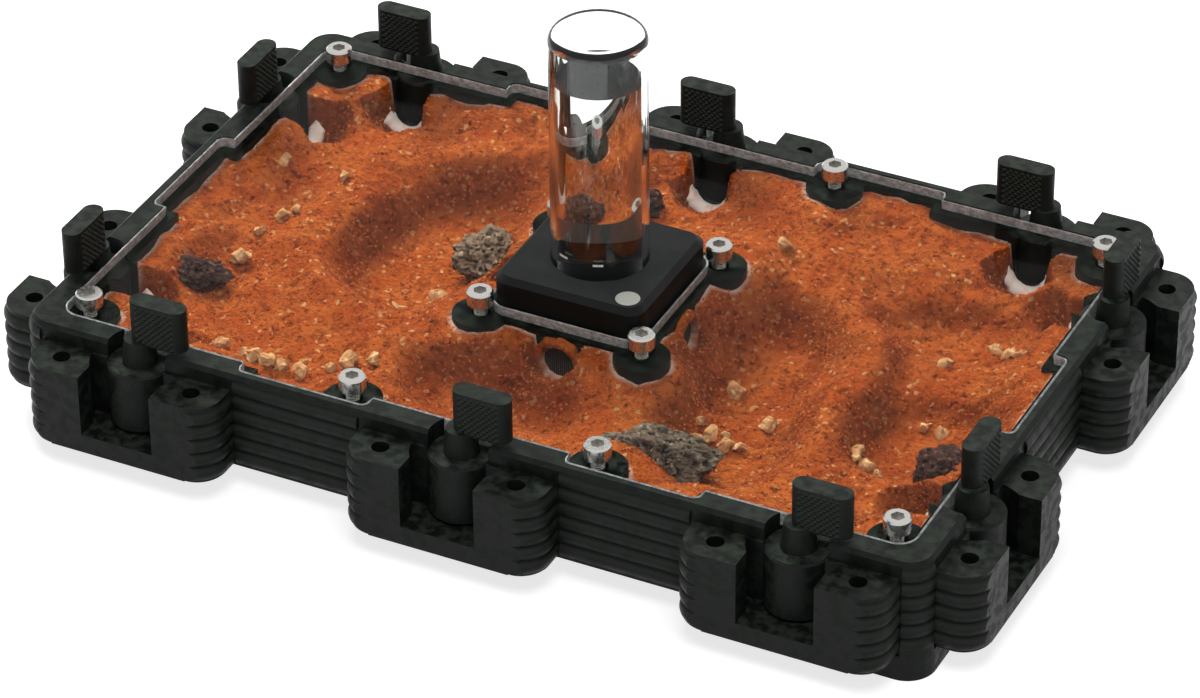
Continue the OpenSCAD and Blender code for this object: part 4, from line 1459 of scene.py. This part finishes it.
@dataclass
class PlasterLips:
    """Bare plaster round the ports, on the plaster bed.

    Attributes:
        radius: Radius of a lip's middle line, in mm.
        thick: Half the lip's thickness, in mm.
        deep: Half its depth into the sand, in mm.
        face: Where its middle line lies, inwards from the station's face, in mm.
        first: Its first angle, in degrees.
        sweep: How far round it goes, in degrees.
        along: Points along it.
        ring: Points round its section.
    """

    radius: float = 4.3
    thick: float = 1.35
    deep: float = 1.9
    face: float = 20.3
    first: float = -200.0
    sweep: float = 220.0
    along: int = 34
    ring: int = 12

    def build(self) -> bpy.types.Object:
        """Makes the bed and its lips and returns them."""
        vertices: list[Sequence[float]] = []
        faces: list[Sequence[int]] = []
        for index, station in enumerate(PLAN.stations()):
            self.lip(station, index, vertices, faces)
        self.bed(vertices, faces)
        made = mesh_object("plaster_lips", vertices, faces, ChalkyPlaster())
        face_outwards(made)
        return stand(made, TRAY_BODY, "plaster", "plaster_bed", "plaster_collars")

    def lip(self, station: Station, index: int, vertices: list, faces: list) -> None:
        """Adds the U-shaped lip of one port.

        Args:
            station: The port's station.
            index: Its number, which varies its form.
            vertices: The piece's vertices, added to.
            faces: The piece's faces, added to.
        """
        move = station.matrix()
        start, along, ring = len(vertices), self.along, self.ring
        for i in range(along):
            turn = math.radians(self.first + self.sweep * i / (along - 1))
            wave = noise.noise(Vector((i * 0.35, index * 5.0, 0)))
            reach = self.radius + 0.35 * wave
            taper = min(1.0, (i + 0.2) / 5, (along - 0.8 - i) / 5)
            thick = self.thick * (0.75 + 0.45 * max(0.0, -math.sin(turn)) + 0.25 * wave) * taper
            deep = self.deep * taper * (1 + 0.3 * wave)
            for k in range(ring):
                a = 2 * math.pi * k / ring
                r, d = reach + thick * math.cos(a), self.face + deep * math.sin(a)
                spot = Vector((r * math.cos(turn), d, PLAN.port_z + r * math.sin(turn)))
                vertices.append(tuple(move @ spot))
        for i in range(along - 1):
            for k in range(ring):
                a, b = start + i * ring + k, start + i * ring + (k + 1) % ring
                faces.append((a, b, b + ring, a + ring))
        faces.append(tuple(range(start, start + ring)))
        faces.append(tuple(range(start + (along - 1) * ring, start + along * ring)))

    @staticmethod
    def bed(vertices: list, faces: list) -> None:
        """Adds the flat bed under the sand.

        Args:
            vertices: The piece's vertices, added to.
            faces: The piece's faces, added to.
        """
        start = len(vertices)
        x, y = PLAN.cavity_x - 0.3, PLAN.cavity_y - 0.3
        for z in (PLAN.floor_z + 0.02, PLAN.bed_top):
            vertices += [(-x, -y, z), (x, -y, z), (x, y, z), (-x, y, z)]
        sides = [(i, (i + 1) % 4, (i + 1) % 4 + 4, i + 4) for i in range(4)]
        for ring in ((0, 1, 2, 3), (4, 5, 6, 7), *sides):
            faces.append(tuple(start + i for i in ring))


# ---- Lid, screws, gates and feeder ----


@dataclass
class Tray:
    """The printed tray: its floor, walls, corners and stations.

    Attributes:
        walls: Names of the walls between the stations.
        corners: Names of the corners.
    """

    walls: tuple[str, ...] = ("front_1", "front_2", "back_1", "back_2", "left", "right")
    corners: tuple[str, ...] = ("front_left", "front_right", "back_left", "back_right")

    def build(self) -> None:
        """Dresses every piece of the tray."""
        dress("tray_floor", PRINT)
        for name in self.walls:
            dress(f"wall_{name}", PRINT)
        for name in self.corners:
            dress(f"corner_{name}", PRINT)
        for station in PLAN.stations():
            dress(f"station_{station.name}", PRINT)


@dataclass
class Lid:
    """The clear sheet, its sawn edge and its screws.

    Attributes:
        half_x: Half its length, in mm.
        half_y: Half its width, in mm.
        step: How far it steps out between the stations, in mm.
        step_r: Radius of the steps' corners, in mm.
        corner_r: Radius of its corners, in mm.
        opening: Half the width of the feeder's opening, in mm.
        opening_r: Radius of the opening's corners, in mm.
        broken: How much of the edge's top corner is broken off, in mm.
        proud: How far the sawn edge stands off the sheet, in mm.
    """

    half_x: float = 93.1
    half_y: float = 57.1
    step: float = 3.1
    step_r: float = 1.6
    corner_r: float = 4.0
    opening: float = 17.2
    opening_r: float = 4.2
    broken: float = 0.3
    proud: float = 0.02

    @staticmethod
    def corner(x: float, y: float, r: float, start: float) -> list[tuple[float, float]]:
        """Draws a quarter arc of the outline.

        Args:
            x: The arc's centre.
            y: The arc's centre.
            r: The arc's radius.
            start: The arc's first angle, in degrees.

        Returns:
            The arc's points.
        """
        steps = [math.radians(start + 90 * i / 6) for i in range(7)]
        return [(x + r * math.cos(a), y + r * math.sin(a)) for a in steps]

    def outline(self) -> list[tuple[float, float]]:
        """Returns the lid's outline, in mm, counter-clockwise."""
        low, high = PLAN.step_x
        hx, hy, st, r, cr = self.half_x, self.half_y, self.step, self.step_r, self.corner_r
        quarter = self.corner(hx + st - r, PLAN.step_y - r, r, 0) + [(hx, PLAN.step_y)]
        quarter += self.corner(hx - cr, hy - cr, cr, 0) + [(high, hy)]
        quarter += self.corner(high - r, hy + st - r, r, 0)
        quarter += self.corner(low + r, hy + st - r, r, 90) + [(low, hy)]
        upper = quarter + [(-x, y) for x, y in reversed(quarter)]
        return upper + [(-x, -y) for x, y in upper]

    def build(self) -> None:
        """Dresses the lid and makes its edge and the screws' threads."""
        dress("clear_lid", Clear("lid_acrylic", (0.99, 1.0, 0.995), 1.09, 0.0, 0.3))
        self.edge("lid_edge_outer", self.outline(), 1)
        at, r = self.opening - self.opening_r, self.opening_r
        inner = []
        for sx, sy, start in ((1, 1, 0), (-1, 1, 90), (-1, -1, 180), (1, -1, 270)):
            inner += self.corner(sx * at, sy * at, r, start)
        self.edge("lid_edge_inner", inner, -1)
        for node, finish in (("lid_screws", STEEL), ("feeder_screws", STEEL), ("lid_inserts", BRASS),
                             ("feeder_inserts", BRASS)):
            dress(node, finish)
        self.threads()

    def edge(self, name: str, outline: list[tuple[float, float]], way_out: int) -> None:
        """Makes the sawn edge round an outline, with its broken top corner.

        Args:
            name: The piece's name.
            outline: The outline, in mm.
            way_out: 1 where the sheet lies inside the outline, and -1 where it lies outside.
        """
        count, top, low = len(outline), PLAN.lid_top, PLAN.ledge_z + 0.05
        rows = (
            (low, 0.0), (top - self.broken, 0.0), (top + 0.01, self.broken), (top - 0.2, 0.4), (low, 0.12),
        )
        vertices, faces = [], []
        for z, inwards in rows:
            grow = (self.proud - inwards) * way_out
            for i in range(count):
                before, here, after = outline[i - 1], outline[i], outline[(i + 1) % count]
                way = Vector((after[0] - before[0], after[1] - before[1])).normalized()
                vertices.append((here[0] + way.y * grow, here[1] - way.x * grow, z))
        for row in range(len(rows)):
            upper = (row + 1) % len(rows)
            for i in range(count):
                j = (i + 1) % count
                faces.append((row * count + i, row * count + j, upper * count + j, upper * count + i))
        made = mesh_object(name, vertices, faces, Frosted(), smooth=False)
        face_outwards(made)
        stand(made, TRAY_BODY, "clear_acrylic")

    @staticmethod
    def threads() -> None:
        """Puts the screws' thread under their heads, where the clear lid shows it."""
        spots = [(x, y, PLAN.ledge_z + 0.25) for x, y in PLAN.lid_screws() + PLAN.feeder_screws()]
        made = mesh_object("screw_threads", spots, [], STEEL)
        recipe = Recipe("ThreadRings", {
            "Pitch": ("NodeSocketFloat", 0.0005),
            "Radius": ("NodeSocketFloat", 0.00151),
            "Ridge": ("NodeSocketFloat", 0.00014),
            "Turns": ("NodeSocketInt", 6),
        })
        w, ins = recipe.w, recipe.ins
        circle = w.add("GeometryNodeCurvePrimitiveCircle", {"Resolution": 28, "Radius": ins["Radius"]})
        profile = w.add("GeometryNodeCurvePrimitiveCircle", {"Resolution": 4, "Radius": ins["Ridge"]})
        ring = w.add("GeometryNodeCurveToMesh", {
            "Curve": circle.outputs[0], "Profile Curve": profile.outputs[0]})
        step = w.add("ShaderNodeCombineXYZ", {2: ins["Pitch"]})
        stack = w.add("GeometryNodeMeshLine", {"Count": ins["Turns"], "Offset": step.outputs[0]})
        coil = w.add("GeometryNodeInstanceOnPoints", {
            "Points": stack.outputs[0], "Instance": ring.outputs[0]})
        placed = w.add("GeometryNodeInstanceOnPoints", {
            "Points": ins["Geometry"], "Instance": coil.outputs[0]})
        recipe.finish(placed.outputs[0], STEEL)
        stand(recipe.run(made), TRAY_BODY, "steel")


def knurl_recipe() -> Recipe:
    """Builds the tree that sets a low pyramid on each point of a flag, turned as the point says.

    Returns:
        The recipe, for all ten gates.
    """
    recipe = Recipe("FlagKnurl", {
        "Width": ("NodeSocketFloat", 0.00063),
        "Depth": ("NodeSocketFloat", 0.0003),
    })
    w, ins = recipe.w, recipe.ins
    stud = w.add("GeometryNodeMeshCone", {
        "Vertices": 4, "Radius Top": 0.00005, "Radius Bottom": ins["Width"], "Depth": ins["Depth"]})
    turn = w.add("GeometryNodeInputNamedAttribute", {"Name": "turn"}, data_type="FLOAT_VECTOR")
    placed = w.add("GeometryNodeInstanceOnPoints", {
        "Points": ins["Geometry"], "Instance": stud.outputs["Mesh"],
        "Rotation": turn.outputs["Attribute"]})
    recipe.finish(placed.outputs[0], GATE_PRINT)
    return recipe


@dataclass
class PortGate:
    """A turnable gate with a knurled flag.

    Attributes:
        station: The station that it is in.
        bottom: Lowest knurl, in mm.
        top: Highest knurl, in mm.
        start: First knurl along the flag, in mm from the gate's axis.
        end: Last knurl along the flag.
        half: Half the flag's thickness, in mm.
        off: How far the flag's middle lies behind the gate's axis, in mm.
        pitch: Width of one diamond, in mm.
        sunk: How far the knurl's foot lies in the flag, in mm.
    """

    station: Station
    bottom: float = 29.2
    top: float = 37.5
    start: float = 0.7
    end: float = 8.5
    half: float = 2.2
    off: float = 0.5
    pitch: float = 1.3
    sunk: float = 0.02

    def build(self, knurl: Recipe) -> None:
        """Dresses the gate and knurls its flag.

        Args:
            knurl: The recipe of the knurl.
        """
        node = f"gate_{self.station.name}"
        dress(node, GATE_PRINT)
        move = self.station.matrix() @ Matrix.Translation((0, PLAN.gate_inset + self.off, 0))
        heading = Matrix.Rotation(math.radians(self.station.side.value), 3, "Z")
        columns = int((self.end - self.start) / self.pitch)
        rows = int((self.top - self.bottom) / self.pitch * 2)
        points, turns = [], []
        for face in (-1, 1):
            turn = (heading @ Matrix.Rotation(-face * math.pi / 2, 3, "X")).to_euler()
            y = face * (self.half - self.sunk)
            for k in range(rows + 1):
                odd = k % 2
                for i in range(columns + 1 - odd):
                    x = self.start + (i + 0.5 * odd) * self.pitch
                    points.append(move @ Vector((x, y, self.bottom + k * self.pitch / 2)))
                    turns += [turn.x, turn.y, turn.z]
        made = mesh_object(f"{node}_knurl", points, [], GATE_PRINT)
        made.data.attributes.new("turn", "FLOAT_VECTOR", "POINT").data.foreach_set("vector", turns)
        made = knurl.run(made)
        made.data.polygons.foreach_set("use_smooth", [False] * len(made.data.polygons))
        stand(made, f"gate_body_{self.station.name}", "black_print")


@dataclass
class Feeder:
    """The pedestal, the block and the vial with its water.

    Attributes:
        mesh_pitch: Distance between the screens' wires, in mm.
        mesh_count: Wires on each side of a screen's middle.
        mesh_r: Radius of a screen, in mm.
        wire_half: Half a wire's width, in mm.
        wire_high: A wire's height, in mm.
        mark_r: Radius of the printed marks, just outside the glass, in mm.
        mark_half: Half a mark's width, in mm.
        marks_at: First and last angle of each mark in degrees, and its height in mm.
    """

    mesh_pitch: float = 0.46
    mesh_count: int = 7
    mesh_r: float = 3.6
    wire_half: float = 0.09
    wire_high: float = 0.14
    mark_r: float = 10.03
    mark_half: float = 0.25
    marks_at: tuple = ((-117.0, -104.0, 37.0), (-72.0, -60.0, 36.7))

    def build(self) -> None:
        """Dresses the feeder's nodes and makes its screens and marks."""
        dress("feeder_pedestal", PRINT)
        dress("feeder_block", SatinBlack())
        dress("block_disc", BRIGHT)
        dress("vial_seal", SoftRubber())
        dress("glass_vial", Clear("clear_glass", (0.97, 0.99, 0.98), 1.36, 0.0, 0.5))
        dress("water_fill", Clear("vial_water", (0.98, 0.995, 0.99), 1.33, 0.0, 0.5))
        # the disc behind the wires is a painted shade of the chamber seen through the screen
        dress("mesh_screens", SCREEN_SHADE)
        self.screens()
        self.marks()

    def screens(self) -> None:
        """Weaves the wire screens over the windows' discs."""
        vertices, faces = [], []
        for turn in range(4):
            spin = Matrix.Rotation(turn * math.pi / 2, 4, "Z")
            for i in range(-self.mesh_count, self.mesh_count + 1):
                off = i * self.mesh_pitch
                half = math.sqrt(max(0.0, self.mesh_r**2 - off**2))
                if half > 0.3:
                    self.wire(spin, (-half, off), (half, off), 0.12, vertices, faces)
                    self.wire(spin, (off, -half), (off, half), 0.02, vertices, faces)
        made = mesh_object("screen_wires", vertices, faces, WIRE, smooth=False)
        face_outwards(made)
        stand(made, TRAY_BODY, "screen_steel")

    def wire(self, spin: Matrix, first: tuple[float, float], last: tuple[float, float], behind: float,
             vertices: list, faces: list) -> None:
        """Adds one three-sided wire.

        Args:
            spin: The turn from the front window to this one.
            first: Its first end on the window's face, from the window's middle, in mm.
            last: Its last end.
            behind: How far it lies behind the pedestal's face, in mm.
            vertices: The piece's vertices, added to.
            faces: The piece's faces, added to.
        """
        way = Vector((last[0] - first[0], last[1] - first[1])).normalized()
        side = Vector((-way.y, way.x)) * self.wire_half
        base = len(vertices)
        y = behind - PLAN.pedestal_half + 0.1
        for x, z in (first, last):
            for grow, lift in ((-1, 0), (0, self.wire_high), (1, 0)):
                spot = Vector((x + side.x * grow, y - lift, PLAN.window_z + z + side.y * grow))
                vertices.append(tuple(spin @ spot))
        for k in range(3):
            after = (k + 1) % 3
            faces.append((base + k, base + after, base + 3 + after, base + 3 + k))
        faces += [(base, base + 2, base + 1), (base + 3, base + 4, base + 5)]

    def marks(self) -> None:
        """Prints two plain white level dashes on the vial."""
        vertices, faces, steps = [], [], 6
        for first, last, z in self.marks_at:
            base = len(vertices)
            for i in range(steps + 1):
                a = math.radians(first + (last - first) * i / steps)
                x, y = self.mark_r * math.cos(a), self.mark_r * math.sin(a)
                vertices += [(x, y, z - self.mark_half), (x, y, z + self.mark_half)]
            for k in range(base, base + 2 * steps, 2):
                faces.append((k, k + 2, k + 3, k + 1))
        ink = ChalkyPlaster("mark_ink", srgb(245, 245, 242))
        stand(mesh_object("vial_dashes", vertices, faces, ink), "vial_body", "vial_glass")


@dataclass
class Studio:
    """The white floor, the lamps and the camera.

    Attributes:
        azimuth: The camera's azimuth, in degrees.
        elevation: Its elevation, in degrees.
        roll: Its roll, in degrees.
        target: What it looks at, in mm.
        distance: Its distance from there, in mm.
        lens: Its lens, in mm.
        floor_half: Half the floor's width, in metres.
        floor_tone: How much light the floor throws back.
        floor_glow: The floor's own light, which only the camera, gloss and glass see.
        air: Strength of the world as a light, and as the camera, gloss and glass see it.
        lamps_at: Each lamp's name, place in metres, size in metres and power in watts.
    """

    azimuth: float = 26.595
    elevation: float = 34.244
    roll: float = -0.579
    target: tuple[float, float, float] = (13.051, -26.548, 30.0)
    distance: float = 1083.0
    lens: float = 164.71
    floor_half: float = 6.0
    floor_tone: float = 0.45
    floor_glow: float = 0.76
    air: tuple[float, float] = (0.2, 1.0)
    lamps_at: tuple = (
        ("back_lamp", (-0.72, 0.74, 0.86), 0.5, 30.0),
        ("top_lamp", (0.35, -0.6, 1.45), 0.6, 13.0),
    )

    def build(self) -> None:
        """Sets up the camera, the floor, the lamps and the world."""
        self.camera()
        self.floor()
        self.lamps()
        self.world()
        bpy.context.scene.view_settings.view_transform = "Standard"

    def camera(self) -> None:
        """Places the camera where the photograph was taken."""
        data = bpy.data.cameras.new("photo_camera")
        data.lens = self.lens
        data.sensor_width = 36.0
        data.clip_end = 20.0
        made = link("photo_camera", data)
        az, el, roll = (math.radians(v) for v in (self.azimuth, self.elevation, self.roll))
        back = Vector((math.sin(az) * math.cos(el), -math.cos(az) * math.cos(el), math.sin(el)))
        right = Vector((math.cos(az), math.sin(az), 0))
        up = back.cross(right)
        across = math.cos(roll) * right + math.sin(roll) * up
        upward = -math.sin(roll) * right + math.cos(roll) * up
        turn = Matrix((across, upward, back)).transposed()
        place = Vector(self.target) * MM + back * self.distance * MM
        made.matrix_world = Matrix.Translation(place) @ turn.to_4x4()
        bpy.context.scene.camera = made

    @staticmethod
    def shown(w: Wiring) -> bpy.types.NodeSocket:
        """Finds the rays that show a backdrop: the camera's, and those of gloss and glass.

        Args:
            w: The wiring of the backdrop's material.

        Returns:
            A mask, 1 for such a ray.
        """
        path = w.add("ShaderNodeLightPath").outputs
        glass = w.math("MAXIMUM", path["Is Glossy Ray"], path["Is Transmission Ray"])
        return w.math("MAXIMUM", path["Is Camera Ray"], glass)

    def floor(self) -> None:
        """Lays a white floor that keeps the habitat's shadow."""
        mesh = bpy.data.meshes.new("floor")
        h = self.floor_half
        mesh.from_pydata([(-h, -h, 0), (h, -h, 0), (h, h, 0), (-h, h, 0)], [], [(0, 1, 2, 3)])
        paint = bpy.data.materials.new("white_floor")
        paint.use_nodes = True
        paint.node_tree.nodes.clear()
        w = Wiring(paint.node_tree)
        matt = w.add("ShaderNodeBsdfDiffuse", {"Color": (*(self.floor_tone,) * 3, 1)})
        strength = w.math("MULTIPLY", self.shown(w), self.floor_glow)
        glow = w.add("ShaderNodeEmission", {"Color": (1, 1, 1, 1), "Strength": strength})
        both = w.add("ShaderNodeAddShader", {0: matt.outputs[0], 1: glow.outputs[0]})
        w.add("ShaderNodeOutputMaterial", {"Surface": both.outputs[0]})
        mesh.materials.append(paint)
        made = link("floor", mesh)

    def lamps(self) -> None:
        """Hangs a soft lamp behind the habitat on the left, and a weaker one high in front."""
        for name, place, size, power in self.lamps_at:
            data = bpy.data.lights.new(name, "AREA")
            data.size = size
            data.energy = power
            made = link(name, data)
            made.location = place
            made.rotation_euler = (-Vector(place)).to_track_quat("-Z", "Y").to_euler()
            made.visible_glossy = made.visible_transmission = False

    def world(self) -> None:
        """Makes the world white to the camera and dimmer as a light."""
        world = bpy.data.worlds.new("studio")
        world.use_nodes = True
        world.node_tree.nodes.clear()
        w = Wiring(world.node_tree)
        strength = w.ramp(self.shown(w), 0.0, 1.0, self.air)
        light = w.add("ShaderNodeBackground", {"Color": (1, 1, 1, 1), "Strength": strength})
        w.add("ShaderNodeOutputWorld", {"Surface": light.outputs[0]})
        bpy.context.scene.world = world


def write_sizes() -> None:
    """Updates the view layer."""
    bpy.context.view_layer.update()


def main() -> None:
    """Builds the habitat's looks in order."""
    logging.basicConfig(level=logging.INFO, format="%(name)s: %(message)s")
    Studio().build()
    Tray().build()
    sand = SandRelief()
    sand.build()
    sand.scatter()
    WindowCollars().build()
    PlasterLips().build()
    Pebbles().build(sand)
    for rock in ROCKS:
        rock.build()
    Lid().build()
    knurl = knurl_recipe()
    for station in PLAN.stations():
        PortGate(station).build(knurl)
    Feeder().build()
    write_sizes()


if __name__ == "__main__":
    main()
